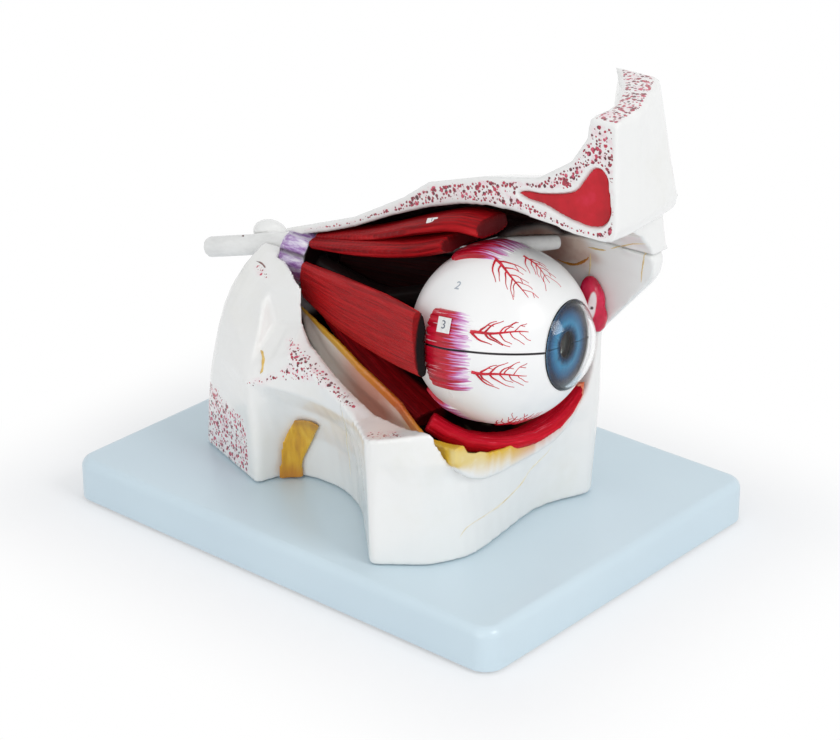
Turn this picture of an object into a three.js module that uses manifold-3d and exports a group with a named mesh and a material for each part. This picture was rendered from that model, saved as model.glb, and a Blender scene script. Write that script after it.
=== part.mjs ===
// Eye anatomy model: a removable, opening eyeball in a sectioned bony orbit on a plastic stand.
// Millimetres. +X is the front of the face, +Y is towards the nose, +Z is up. The origin is the
// centre of the stand's underside. The orbit is open on its outer side, so -Y shows the muscles.
import * as THREE from 'three';
import * as BufferGeometryUtils from 'three/addons/utils/BufferGeometryUtils.js';
import Module from 'manifold-3d';

const wasm = await Module();
wasm.setup();

// Driving dimensions: stand
const BASE_LENGTH = 260;
const BASE_WIDTH = 195;
const BASE_TOP = 22;
const BASE_CORNER_RADIUS = 10;
const BASE_EDGE_RADIUS = 5;
const BASE_WALL = 3;
const BASE_DECK = 3.5;
const RIB_THICKNESS = 2.6;
const FOOT_RADIUS = 8;
const FOOT_PROUD = 1.5;
const FOOT_THICKNESS = 5;
const FOOT_INSET = 17;
const SCREW_RADIUS = 2;
const SCREW_HEAD_RADIUS = 4;
const SCREW_HEAD_HEIGHT = 2.6;
const SCREW_LENGTH = 26;
const BOSS_RADIUS = 6.5;
const BOSS_FLOOR = 7;
const SCREWS = [[-58, -10], [58, -10], [56, -60]];

// Driving dimensions: eyeball, about 3.4 times life
const EYE_CENTRE = new THREE.Vector3(68, -15, 116.4);
const EYE_RADIUS = 40.3;
const SCLERA_WALL = 3.4;
const CHOROID_WALL = 2;
const GAZE_TURN = 7.1;
const GAZE_LIFT = 4.8;
const EYE_ROLL = 10;
const LIMBUS_RADIUS = 20.4;
const LIMBUS_LEDGE = 1.1;
const CORNEA_RADIUS = 26.6;
const CORNEA_WALL = 1.8;
const IRIS_THICKNESS = 1.8;
const PUPIL_RADIUS = 5.6;
const LENS_RADIUS = 13.5;
const LENS_FRONT_BULGE = 4.6;
const LENS_BACK_BULGE = 7.4;
const LENS_TO_IRIS = 1.6;
const STUMP_RISE = 1.7;
const PEG_RADIUS = 0.8;
const PEG_HEIGHT = 2.4;

// Driving dimensions: how the eyeball draws out, and the nerve that it plugs on
const DRAW_TURN = -18;
const DRAW_LIFT = 3;
const NERVE_RADIUS = 5.3;
const NERVE_TIP = new THREE.Vector3(-124.5, -5, 104.2);
const PLUG_RADIUS = 4;
const PLUG_LENGTH = 6.5;
const SOCKET_WALL = 3.2;

// Driving dimensions: orbit casting
const SECTION_Y = -13;
const MEDIAL_Y = 40;
const BONE_SPLIT_X = 12;
const SINUS_DEPTH = 3;
const SINUS_SINK = 0.8;
const APEX = new THREE.Vector3(-60, -5, 114);
const FAT_WALL = 2.6;
const FAT_LIP = 6;
const NERVE_BAND_RISE = 1.8;

// Clearances
const SEAT_GAP = 0.3;
const SHELL_GAP = 0.4;
const LOOSE = 400;

const radians = THREE.MathUtils.degToRad;
const vector = (x, y, z) => new THREE.Vector3(x, y, z);

// Colours and finishes seen on the model
const finish = (color, roughness, extra = {}) =>
  new THREE.MeshStandardMaterial({ color, roughness, metalness: 0, ...extra });
const BONE = finish(0xeef0ee, 0.3);
const STAND = finish(0xcfe0ea, 0.35);
const MUSCLE = finish(0xa01e22, 0.4);
const SCLERA = finish(0xf4f3f0, 0.2);

// Solids and booleans

// A closed geometry as a solid: only positions count, shared vertices are merged, triangles that
// collapse at a pole are dropped, and all faces are turned outwards.
function solid(geometry) {
  const bare = new THREE.BufferGeometry();
  bare.setAttribute('position', geometry.getAttribute('position'));
  if (geometry.index) bare.setIndex(geometry.index);
  const merged = BufferGeometryUtils.mergeVertices(bare, 1e-4);
  const points = merged.getAttribute('position');
  const corner = (i) => new THREE.Vector3().fromBufferAttribute(points, i);
  const triangles = [];
  let volume = 0;
  for (let i = 0; i < merged.index.count; i += 3) {
    const [a, b, c] = [0, 1, 2].map((k) => merged.index.getX(i + k));
    if (a === b || b === c || c === a) continue;
    triangles.push([a, b, c]);
    volume += corner(a).dot(corner(b).cross(corner(c)));
  }
  const facing = triangles.flatMap(([a, b, c]) => (volume < 0 ? [a, c, b] : [a, b, c]));
  return new wasm.Manifold(new wasm.Mesh({
    numProp: 3,
    vertProperties: Float32Array.from(points.array),
    triVerts: Uint32Array.from(facing),
  }));
}

function geometryOf(body) {
  const mesh = body.getMesh();
  const geometry = new THREE.BufferGeometry();
  geometry.setAttribute('position', new THREE.BufferAttribute(mesh.vertProperties, 3));
  geometry.setIndex(new THREE.BufferAttribute(mesh.triVerts, 1));
  return geometry;
}

const group = new THREE.Group();

function addPiece(name, body, material, parent = group) {
  const mesh = new THREE.Mesh(geometryOf(body), material);
  mesh.name = name;
  parent.add(mesh);
  return mesh;
}

// A loft through rings of equal point counts, closed by flat ends.
function loft(rings) {
  const count = rings[0].length;
  const positions = rings.flat().flatMap((p) => [p.x, p.y, p.z]);
  const triangles = [];
  for (let r = 0; r + 1 < rings.length; r += 1) {
    for (let i = 0; i < count; i += 1) {
      const a = r * count + i;
      const b = r * count + ((i + 1) % count);
      triangles.push([a, b, a + count], [b, b + count, a + count]);
    }
  }
  const cap = (ring, start, flip) => {
    const normal = newellNormal(ring);
    const turn = new THREE.Quaternion().setFromUnitVectors(normal, vector(0, 0, 1));
    const flat = ring.map((p) => p.clone().applyQuaternion(turn));
    const faces = THREE.ShapeUtils.triangulateShape(flat.map((p) => new THREE.Vector2(p.x, p.y)), []);
    for (const [a, b, c] of faces) {
      triangles.push(flip ? [start + c, start + b, start + a] : [start + a, start + b, start + c]);
    }
  };
  cap(rings[0], 0, true);
  cap(rings[rings.length - 1], (rings.length - 1) * count, false);
  const geometry = new THREE.BufferGeometry();
  geometry.setAttribute('position', new THREE.Float32BufferAttribute(positions, 3));
  geometry.setIndex(triangles.flat());
  return solid(geometry);
}

// The normal of a ring of points, by the sum of its edges' cross products.
function newellNormal(ring) {
  const normal = vector(0, 0, 0);
  ring.forEach((p, i) => normal.add(p.clone().cross(ring[(i + 1) % ring.length])));
  return normal.normalize();
}

// An outline with rounded corners: each corner is [u, v, radius], and gives steps + 1 points.
function roundedOutline(corners, steps = 3) {
  const points = [];
  corners.forEach(([u, v, radius], i) => {
    const here = new THREE.Vector2(u, v);
    const before = new THREE.Vector2(...corners[(i + corners.length - 1) % corners.length]);
    const after = new THREE.Vector2(...corners[(i + 1) % corners.length]);
    const toBefore = before.sub(here);
    const toAfter = after.sub(here);
    const reach = Math.min(radius, toBefore.length() * 0.48, toAfter.length() * 0.48);
    const start = here.clone().add(toBefore.setLength(reach));
    const end = here.clone().add(toAfter.setLength(reach));
    const arc = new THREE.QuadraticBezierCurve(start, here, end);
    points.push(...arc.getPoints(steps));
  });
  return points;
}

// A superellipse in the plane at x: a rounded box when power is above 2.
function superellipse(x, centreY, centreZ, radiusY, radiusZ, power, count) {
  return Array.from({ length: count }, (unused, i) => {
    const angle = (i / count) * Math.PI * 2;
    const c = Math.cos(angle);
    const s = Math.sin(angle);
    const bend = (value) => Math.sign(value) * Math.abs(value) ** (2 / power);
    return vector(x, centreY + radiusY * bend(c), centreZ + radiusZ * bend(s));
  });
}

// A loft whose key rings are joined by smooth curves, point by point.
function smoothLoft(keys, ringCount) {
  const tracks = keys[0].map((unused, i) => new THREE.CatmullRomCurve3(
    keys.map((ring) => ring[i]), false, 'centripetal'));
  const rings = Array.from({ length: ringCount }, (unused, k) =>
    tracks.map((track) => track.getPoint(k / (ringCount - 1))));
  return loft(rings);
}

// A block that keeps what lies on one side of a plane, for cutting.
function block(minimum, maximum) {
  const size = maximum.clone().sub(minimum);
  const box = new THREE.BoxGeometry(size.x, size.y, size.z);
  box.translate(...minimum.clone().add(maximum).multiplyScalar(0.5).toArray());
  return solid(box);
}

// A flat outline in the XZ plane, pushed from one Y to another.
function profileAlongY(outline, fromY, toY) {
  const ring = (y) => outline.map((p) => vector(p.x, y, p.y));
  return loft([ring(fromY), ring(toY)]);
}

function cylinderZ(x, y, fromZ, toZ, radius, sides = 24) {
  const cylinder = new THREE.CylinderGeometry(radius, radius, toZ - fromZ, sides);
  cylinder.rotateX(Math.PI / 2);
  cylinder.translate(x, y, (fromZ + toZ) / 2);
  return solid(cylinder);
}

// A round tube along a curve, by an extruded section.
function tube(curve, radius, steps, sides = 14) {
  const section = new THREE.Shape();
  section.absarc(0, 0, radius, 0, Math.PI * 2, true);
  return solid(new THREE.ExtrudeGeometry(section, {
    steps, curveSegments: sides / 2, bevelEnabled: false, extrudePath: curve,
  }));
}

// A flattened, fluted muscle belly. A station is centre, width direction, half width and half
// thickness; the flutes are the fibre bundles that the model shows as ridges.
function muscle(stations, { rings = 10, sides = 18, flute = 0.35, power = 2.6 } = {}) {
  const path = new THREE.CatmullRomCurve3(stations.map((s) => s.at), false, 'centripetal');
  const across = new THREE.CatmullRomCurve3(stations.map((s) => s.across.clone().normalize()));
  const sizes = new THREE.CatmullRomCurve3(stations.map((s) => vector(s.half, s.thick, 0)));
  const list = [];
  for (let k = 0; k < rings; k += 1) {
    const t = k / (rings - 1);
    const tangent = path.getTangent(t);
    const side = across.getPoint(t);
    side.addScaledVector(tangent, -side.dot(tangent)).normalize();
    const normal = tangent.clone().cross(side);
    const size = sizes.getPoint(t);
    list.push(superellipse(0, 0, 0, size.x, size.y, power, sides).map((p, i) => {
      const ridge = 1 + (i % 2 === 0 ? 0 : -flute / size.y);
      return path.getPoint(t).addScaledVector(side, p.y).addScaledVector(normal, p.z * ridge);
    }));
  }
  return loft(list);
}

// Stand: a moulded tray with ribs and screw bosses under its deck, on four rubber feet

const trayBottom = FOOT_PROUD;

function tray() {
  const box = (inset, z) => roundedOutline([
    [-BASE_LENGTH / 2 + inset, -BASE_WIDTH / 2 + inset, BASE_CORNER_RADIUS],
    [BASE_LENGTH / 2 - inset, -BASE_WIDTH / 2 + inset, BASE_CORNER_RADIUS],
    [BASE_LENGTH / 2 - inset, BASE_WIDTH / 2 - inset, BASE_CORNER_RADIUS],
    [-BASE_LENGTH / 2 + inset, BASE_WIDTH / 2 - inset, BASE_CORNER_RADIUS],
  ], 4).map((p) => vector(p.x, p.y, z));
  const rounding = [0, 35, 90].map((angle) => box(
    BASE_EDGE_RADIUS * (1 - Math.cos(radians(angle))),
    BASE_TOP - BASE_EDGE_RADIUS * (1 - Math.sin(radians(angle)))));
  const outer = loft([box(0, trayBottom), ...rounding]);
  const deckUnderside = BASE_TOP - BASE_DECK;
  const inner = loft([
    box(BASE_WALL, trayBottom - 1),
    box(BASE_WALL, deckUnderside - 3),
    box(BASE_WALL + 2, deckUnderside),
  ]);
  let body = outer.subtract(inner);
  const half = RIB_THICKNESS / 2;
  const ribTop = deckUnderside + 1;
  const longRibY = SCREWS[0][1];
  const halfLength = BASE_LENGTH / 2 - BASE_WALL / 2;
  const halfWidth = BASE_WIDTH / 2 - BASE_WALL / 2;
  body = body.add(block(
    vector(-halfLength, longRibY - half, trayBottom),
    vector(halfLength, longRibY + half, ribTop)));
  for (const x of [SCREWS[0][0], SCREWS[1][0]]) {
    body = body.add(block(vector(x - half, -halfWidth, trayBottom), vector(x + half, halfWidth, ribTop)));
  }
  for (const [x, y] of SCREWS) {
    body = body.add(cylinderZ(x, y, trayBottom, ribTop, BOSS_RADIUS));
    body = body.subtract(cylinderZ(x, y, trayBottom - 1, BOSS_FLOOR, SCREW_HEAD_RADIUS + SEAT_GAP));
    body = body.subtract(cylinderZ(x, y, BOSS_FLOOR - 1, BASE_TOP + 1, SCREW_RADIUS + SEAT_GAP));
  }
  for (const [x, y] of footPlaces()) {
    body = body.add(cylinderZ(x, y, FOOT_THICKNESS + SEAT_GAP, ribTop, FOOT_RADIUS + 1.5));
  }
  return body;
}

function footPlaces() {
  const x = BASE_LENGTH / 2 - FOOT_INSET;
  const y = BASE_WIDTH / 2 - FOOT_INSET;
  return [[x, -y], [x, y], [-x, y], [-x, -y]];
}

function screw(x, y) {
  const top = BOSS_FLOOR - SEAT_GAP;
  const head = SCREW_HEAD_HEIGHT;
  const profile = [
    [0, top - head * 0.7], [SCREW_HEAD_RADIUS * 0.3, top - head],
    [SCREW_HEAD_RADIUS * 0.85, top - head * 0.9], [SCREW_HEAD_RADIUS, top - head * 0.5],
    [SCREW_HEAD_RADIUS, top], [SCREW_RADIUS, top],
    [SCREW_RADIUS, top + SCREW_LENGTH - 3], [0, top + SCREW_LENGTH],
  ].map(([r, z]) => new THREE.Vector2(r, z));
  const body = new THREE.LatheGeometry(profile, 16);
  body.rotateX(Math.PI / 2);
  body.translate(x, y, 0);
  return solid(body);
}

// Orbit: the pear-shaped hollow that the bones enclose, open at the front and at its outer side

// Station of the hollow: x, middle y, middle z, half width, half height.
const ORBIT_STATIONS = [
  [-61, -5, 114, 14, 16],
  [-46, -8, 111, 21, 23],
  [-24, -12, 108.5, 31, 34],
  [8, -14, 110, 40, 48],
  [39, -15, 112, 47, 58],
  [62, -18, 114, 52, 60.5],
  [80, -19, 117, 53, 57.5],
  [94, -19, 118, 53.5, 56],
  [112, -18, 118, 52, 54],
  [140, -18, 120, 53, 57],
];
const ORBIT_POWER = 3;

// The hollow itself, or a lining set in from its wall by an inset.
function orbitHollow(inset = 0, sides = 30) {
  return smoothLoft(ORBIT_STATIONS.map(([x, y, z, halfY, halfZ]) =>
    superellipse(x, y, z, halfY - inset, halfZ - inset, ORBIT_POWER, sides)), 14);
}

// Lower bones: horizontal outlines of the casting, from the deck of the stand upwards. Corners run
// from the rear outer corner, along the outer notch, round the front leg, to the nose side.
const CASTING_LEVELS = [
  [BASE_TOP + SEAT_GAP, [[-93, -44, 4], [-41.5, -61.5, 3], [-36, -41, 12], [-10, -37.5, 24], [12, -47, 24],
    [51.5, -85.5, 3], [72, -69, 5], [81.5, -50, 12], [78, -25, 16], [73, 8, 16], [83.5, 33, 4], [80, MEDIAL_Y, 3],
    [-93, MEDIAL_Y, 4]]],
  [56, [[-92, -43, 6], [-44, -61, 4], [-35, -45, 12], [-10, -43, 24], [16, -52, 24],
    [50.5, -85.5, 4], [70, -72, 6], [81, -54, 12], [80, -26, 16], [78, 8, 16], [84, 34, 5], [83, MEDIAL_Y, 3],
    [-93, MEDIAL_Y, 4]]],
  [74, [[-90, -42, 10], [-49, -60, 3], [-32, -57, 8], [-8, -55, 20], [20, -61, 24],
    [50, -86, 5], [68, -78, 8], [82, -62, 12], [83, -26, 16], [83, 8, 16], [85, 34, 5], [84, MEDIAL_Y, 3],
    [-93, MEDIAL_Y, 4]]],
  [90, [[-88, -41, 12], [-54, -48, 8], [-34, -54, 8], [-8, -56, 20], [22, -64, 24],
    [50, -86, 5], [68, -78, 8], [82, -62, 12], [84, -26, 16], [84, 8, 16], [85, 34, 5], [84, MEDIAL_Y, 3],
    [-93, MEDIAL_Y, 4]]],
  [104, [[-85, -36, 14], [-60, -40, 12], [-36, -50, 10], [-8, -58, 24], [22, -66, 24],
    [48, -84, 5], [66, -78, 8], [82, -62, 12], [84, -26, 16], [84, 8, 16], [85, 34, 5], [84, MEDIAL_Y, 3],
    [-93, MEDIAL_Y, 4]]],
  [116, [[-83, -22, 14], [-62, -28, 12], [-40, -38, 10], [-8, -56, 24], [22, -64, 24],
    [46, -80, 5], [64, -76, 8], [80, -60, 12], [84, -26, 16], [84, 8, 16], [85, 34, 5], [84, MEDIAL_Y, 3],
    [-92, MEDIAL_Y, 4]]],
  [124, [[-84, 2, 8], [-64, -4, 10], [-44, -14, 10], [-12, -30, 24], [20, -40, 24],
    [44, -60, 5], [60, -56, 8], [76, -40, 12], [84, -26, 16], [84, 8, 16], [85, 34, 5], [84, MEDIAL_Y, 3],
    [-88, MEDIAL_Y, 4]]],
];

// The casting's block, or the same block moved forwards and outwards by a shift.
function castingBlock(shift = 0) {
  const keys = CASTING_LEVELS.map(([z, corners]) =>
    roundedOutline(corners, 3).map((p) => vector(p.x + shift, p.y - shift, z)));
  return smoothLoft(keys, 10);
}

// The suture under the roof: the line where the frontal bone meets the bones below it.
const SUTURE_FALL = 0.28;
const SUTURE = [[-95, 120], [-47, 122], [-14, 128], [30, 140], [72, 151], [118, 153]];

// The suture at one distance from the nose: at the rear it falls towards the middle of the head.
function sutureLine(y) {
  const fall = SUTURE_FALL * Math.max(y - SECTION_Y, 0);
  return SUTURE.map(([x, z]) => [x, z - fall * (1 - THREE.MathUtils.smoothstep(x, -45, 45))]);
}

function sutureHeight(x, y) {
  const line = sutureLine(y);
  const next = line.findIndex(([at]) => at > x);
  if (next <= 0) return line[next === 0 ? 0 : line.length - 1][1];
  const [from, to] = [line[next - 1], line[next]];
  return THREE.MathUtils.mapLinear(x, from[0], to[0], from[1], to[1]);
}

// Everything over the suture, or over the same surface lifted by a gap.
function aboveSuture(lift = 0) {
  const ring = (y, lineY) => {
    const line = sutureLine(lineY).map(([x, z]) => [x, z + lift]);
    const ends = [[-LOOSE, line[0][1]], [LOOSE, line[line.length - 1][1]]];
    const over = [ends[0], ...line, ends[1], [LOOSE, LOOSE], [-LOOSE, LOOSE]];
    return over.map(([x, z]) => vector(x, y, z));
  };
  const middle = [SECTION_Y, 0, 20, MEDIAL_Y].map((y) => ring(y, y));
  return loft([ring(-LOOSE, SECTION_Y), ...middle, ring(LOOSE, MEDIAL_Y)]);
}

// What was sawn off above the outer wall: the saw line in x, with the height that it leaves on
// the outer side and next to the hollow.
const OUTER_RIDGE = [
  [-64, 100, 140], [-56, 84, 118], [-49, 74, 96], [-40, 77, 98], [-31, 83, 101], [-22, 88, 97], [-8, 87, 93],
  [10, 82, 88], [28, 79, 82], [48, 83, 84], [68, 88, 88], [90, 92, 92],
];
const RIDGE_OUTER_Y = -62;
const RIDGE_INNER_Y = -38;

function outerCut() {
  const keys = OUTER_RIDGE.map(([x, outer, inner]) => [
    vector(x, -LOOSE, outer), vector(x, RIDGE_OUTER_Y, outer), vector(x, RIDGE_INNER_Y, inner),
    vector(x, RIDGE_INNER_Y, LOOSE), vector(x, -LOOSE, LOOSE),
  ]);
  return loft(keys);
}

// The side of the nose: a thin wall that rises from the front leg to the suture.
function nasalWall() {
  const outline = roundedOutline([
    [-60, 60, 2], [76, 60, 2], [83.5, 104, 6], [116, 141, 5], [117, 152.6, 4], [72, 150.6, 2],
    [30, 139.6, 2], [-14, 127.6, 2], [-60, 121, 2],
  ], 2);
  const ring = (y, shrink) => outline.map((p) => vector(p.x - shrink, y, p.y));
  return loft([ring(18, 2), ring(30, 0), ring(MEDIAL_Y - 2, 0), ring(MEDIAL_Y, 1.5)]);
}

function opticNerveCurve() {
  const seat = socketMouth();
  const back = drawDirection().negate();
  return new THREE.CatmullRomCurve3([
    NERVE_TIP,
    vector(-98.6, -5, 112),
    vector(-72, -5, 119.5),
    APEX.clone().add(vector(12, 0, 0)),
    APEX.clone().add(vector(44, 7, -9)),
    seat.clone().addScaledVector(back, 13),
    seat.clone().addScaledVector(back, SEAT_GAP),
  ], false, 'centripetal');
}

// Soft parts that the bones make room for.
const nerveCurve = opticNerveCurve();
const nervePath = tube(nerveCurve, NERVE_RADIUS, 20, 12);
const nerveChannel = tube(nerveCurve, NERVE_RADIUS + SEAT_GAP, 20, 12);

// Front of the ring of tendon where the muscles start, and the seat behind it.
const RING_FRONT_X = -49;
const RING_BACK_X = -66;
const RING_MIDDLE = APEX.clone().add(vector(0, -1, 3.5));
const RING_HALF_WIDTH = 14;
const RING_HALF_HEIGHT = 14.5;

function ringSolid(grow) {
  const from = RING_BACK_X - grow;
  const to = RING_FRONT_X;
  const ring = (x, scale) => superellipse(
    x, RING_MIDDLE.y, RING_MIDDLE.z, RING_HALF_WIDTH * scale + grow, RING_HALF_HEIGHT * scale + grow, 2.2, 28,
  ).map((p, i) => {
    const flute = grow > 0 || i % 2 === 0 ? 1 : 0.955;
    return vector(
      p.x, RING_MIDDLE.y + (p.y - RING_MIDDLE.y) * flute, RING_MIDDLE.z + (p.z - RING_MIDDLE.z) * flute);
  });
  return loft([ring(from, 0.86), ring(from + 4, 0.97), ring(to - 4, 1), ring(to, 0.93)]);
}

const orbit = orbitHollow();
const bonesBelow = castingBlock()
  .subtract(outerCut())
  .add(nasalWall())
  .subtract(aboveSuture())
  .subtract(orbit)
  .subtract(nerveChannel)
  .subtract(ringSolid(SEAT_GAP));

function screwHoles(body) {
  return SCREWS.reduce((rest, [x, y]) => rest.subtract(
    cylinderZ(x, y, 0, BOSS_FLOOR + SCREW_LENGTH + SEAT_GAP, SCREW_RADIUS + SEAT_GAP)), body);
}

const frontHalf = block(vector(BONE_SPLIT_X + SEAT_GAP / 2, -LOOSE, -LOOSE), vector(LOOSE, LOOSE, LOOSE));
const rearHalf = block(vector(-LOOSE, -LOOSE, -LOOSE), vector(BONE_SPLIT_X - SEAT_GAP / 2, LOOSE, LOOSE));

// The largest of the pieces that a cut leaves: small crumbs of the casting fall away.
function largest(body) {
  return body.decompose().reduce((best, piece) => (piece.volume() > best.volume() ? piece : best));
}

// Roof: the frontal bone with the brow, the forehead and the frontal sinus laid open

// Outline of the sawn face, in x and z: orbit side first, then brow, forehead and brain side.
const ROOF_BRAIN_SIDE = [
  [112, 227], [110.5, 217], [102.5, 205], [85, 193.5], [55, 187], [23, 176.5], [8, 165.5], [-7, 157],
  [-22, 148.5], [-49, 138], [-66, 131.5],
];
const BROW = [[119, 171], [125, 173.5], [128, 180], [126.8, 202], [126, 232]];
const TOP_CUT_LATERAL_Z = 226.5;
const TOP_CUT_MEDIAL_Z = 231.5;
const CREST_THICKNESS = 17;
const ROOF_DROP = 14;
const ROOF_EDGE = 3;

function frontalBone() {
  const ring = (y, crest, lean, drop) => {
    const suture = sutureLine(y).slice(1).map(([x, z]) => [x, z - 1]);
    const front = BROW.map(([x, z]) => [x - lean * (4 + ((z - 170) / 60) * 12), z]);
    const raised = [[126 - lean * 16, 250], [112 - crest - lean * 16, 250]];
    const brain = ROOF_BRAIN_SIDE.map(([x, z]) => {
      const upright = THREE.MathUtils.smoothstep(z, 192, 218);
      const low = Math.max(z - drop * (1 - upright), sutureHeight(x, y) + ROOF_EDGE);
      return [x - (crest + lean * 8) * upright, low];
    });
    const back = [[-68, sutureHeight(-68, y) - 1]];
    return [...suture, ...front, ...raised, ...brain, ...back].map(([x, z]) => vector(x, y, z));
  };
  const body = loft([
    ring(SECTION_Y, 0, 0, 0), ring(SECTION_Y + 18, 1, 0.05, ROOF_DROP * 0.3),
    ring(MEDIAL_Y - 16, CREST_THICKNESS * 0.45, 0.5, ROOF_DROP * 0.7),
    ring(MEDIAL_Y, CREST_THICKNESS, 1, ROOF_DROP),
  ]);
  const slope = (TOP_CUT_MEDIAL_Z - TOP_CUT_LATERAL_Z) / (MEDIAL_Y - SECTION_Y);
  const cutEdge = (y) => TOP_CUT_LATERAL_Z + (y - SECTION_Y) * slope;
  const topRing = (x) => [[-60, cutEdge(-60)], [90, cutEdge(90)], [90, LOOSE], [-60, LOOSE]]
    .map(([y, z]) => vector(x, y, z));
  return body
    .intersect(aboveSuture(SEAT_GAP))
    .subtract(loft([topRing(-LOOSE), topRing(LOOSE)]))
    .subtract(orbit)
    .subtract(nerveChannel)
    .subtract(ringSolid(SEAT_GAP));
}

// The sinus opening on the sawn face: a boot shape, wide in the brow and pointed to the rear.
const SINUS_OUTLINE = [
  [73.5, 183.5], [77, 185.6], [88, 187], [103, 191.5], [108.7, 198], [113, 204], [117.2, 205.6], [121.3, 203],
  [122.6, 196.8], [124, 186.5], [121.2, 180.4], [116, 177.8], [108, 177.6], [99, 178.8], [88, 181.4], [79, 181.8],
];

// An outline set in by a distance, square to its own edge at each point.
function insetOutline(points, inset) {
  const facing = THREE.ShapeUtils.isClockWise(points) ? -1 : 1;
  return points.map((p, i) => {
    const before = points[(i + points.length - 1) % points.length];
    const after = points[(i + 1) % points.length];
    const edge = after.clone().sub(before).normalize();
    return new THREE.Vector2(p.x - edge.y * inset * facing, p.y + edge.x * inset * facing);
  });
}

function sinusSolid(inset, fromY, toY) {
  const points = SINUS_OUTLINE.map(([x, z]) => new THREE.Vector2(x, z));
  const smooth = new THREE.SplineCurve([...points, points[0]]).getSpacedPoints(44).slice(0, -1);
  return profileAlongY(insetOutline(smooth, inset), fromY, toY);
}

// Eyeball: coordinates of its own, with +X along the gaze and the seam in the plane z = 0

const eyeball = new THREE.Group();
eyeball.position.copy(EYE_CENTRE);
eyeball.rotation.set(radians(-EYE_ROLL), radians(-GAZE_LIFT), radians(GAZE_TURN), 'ZYX');
eyeball.updateMatrix();
const worldToEye = eyeball.matrix.clone().invert();

function drawDirection() {
  const turn = radians(DRAW_TURN);
  const lift = radians(DRAW_LIFT);
  return vector(Math.cos(lift) * Math.cos(turn), Math.cos(lift) * Math.sin(turn), Math.sin(lift));
}

// Where the nerve stub behind the eyeball opens, in the model's own coordinates.
function socketMouth() {
  return EYE_CENTRE.clone().addScaledVector(drawDirection(), -(EYE_RADIUS + PLUG_LENGTH));
}

// Nested shells share one count of facets, so that their faces stay parallel.
const INNER_SEGMENTS = 20;

function ball(radius, segments = 30) {
  return solid(new THREE.SphereGeometry(radius, segments, segments / 2).rotateX(Math.PI / 2));
}

// A solid of revolution about the gaze: the profile is [x along the gaze, radius].
function aboutGaze(profile, sides = 24) {
  const lathe = new THREE.LatheGeometry(profile.map(([x, r]) => new THREE.Vector2(r, x)), sides);
  lathe.rotateZ(-Math.PI / 2);
  return solid(lathe);
}

const onSphere = (radius, r) => Math.sqrt(radius * radius - r * r);
const limbusX = onSphere(EYE_RADIUS, LIMBUS_RADIUS);
const scleraInner = EYE_RADIUS - SCLERA_WALL;
const choroidOuter = scleraInner - SHELL_GAP;
const choroidInner = choroidOuter - CHOROID_WALL;
const vitreousRadius = choroidInner - SHELL_GAP;
const irisRadius = LIMBUS_RADIUS - LIMBUS_LEDGE - SHELL_GAP;
const irisFront = limbusX - 0.4;
const irisBack = irisFront - IRIS_THICKNESS;
const lensFront = irisBack - LENS_TO_IRIS;
const lensRim = lensFront - LENS_FRONT_BULGE;

// Cut ends of the muscles, raised on the white of the eye. Each is a rounded patch about one
// direction, long in the muscle's own line of pull.
const MUSCLE_ENDS = [
  { facing: [-0.15, -0.04, 0.98], pull: [1, 0, 0], halfLength: 14, halfWidth: 13.5 },
  { facing: [-0.05, -0.99, -0.09], pull: [1, 0, 0], halfLength: 12.5, halfWidth: 16.5 },
  { facing: [-0.05, 0.99, 0], pull: [1, 0, 0], halfLength: 12.5, halfWidth: 13 },
  { facing: [-0.35, -0.35, -0.87], pull: [0.9, -0.3, -0.3], halfLength: 14, halfWidth: 12 },
];
const TENDON_FROM = [-3, 7, 38];
const TENDON_TO = [9, 31, 38];
const TENDON_RADII = [4.2, 3.2];

function muscleEnd({ facing, pull, halfLength, halfWidth }) {
  const out = vector(...facing).normalize();
  const along = vector(...pull);
  along.addScaledVector(out, -along.dot(out)).normalize();
  const across = out.clone().cross(along);
  const reach = EYE_RADIUS + STUMP_RISE + 6;
  const ring = (distance) => superellipse(0, 0, 0, halfLength, halfWidth, 3, 20).map((p) =>
    out.clone().multiplyScalar(distance).addScaledVector(along, p.y).addScaledVector(across, p.z));
  return loft([ring(EYE_RADIUS * 0.4), ring(reach)]).intersect(ball(EYE_RADIUS + STUMP_RISE));
}

function taperedRod(from, to, [startRadius, endRadius], sides = 14) {
  const start = vector(...from);
  const end = vector(...to);
  const axis = end.clone().sub(start);
  const rod = new THREE.CylinderGeometry(endRadius, startRadius, axis.length(), sides);
  rod.translate(0, axis.length() / 2, 0);
  rod.applyQuaternion(new THREE.Quaternion().setFromUnitVectors(vector(0, 1, 0), axis.normalize()));
  rod.translate(start.x, start.y, start.z);
  return solid(rod);
}

const upperSide = block(vector(-LOOSE, -LOOSE, SEAT_GAP / 2), vector(LOOSE, LOOSE, LOOSE));
const lowerSide = block(vector(-LOOSE, -LOOSE, -LOOSE), vector(LOOSE, LOOSE, -SEAT_GAP / 2));
const beforePlane = (x) => block(vector(x, -LOOSE, -LOOSE), vector(LOOSE, LOOSE, LOOSE));
const aboveHeight = (z) => block(vector(-LOOSE, -LOOSE, z), vector(LOOSE, LOOSE, LOOSE));

// The stub of the optic nerve behind the eyeball, with the socket that the nerve plugs into.
function nerveStub(radius, fromCentre, toCentre) {
  const back = drawDirection().negate().transformDirection(worldToEye);
  return taperedRod(
    back.clone().multiplyScalar(fromCentre).toArray(),
    back.clone().multiplyScalar(toCentre).toArray(),
    [radius, radius], 20);
}

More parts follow.
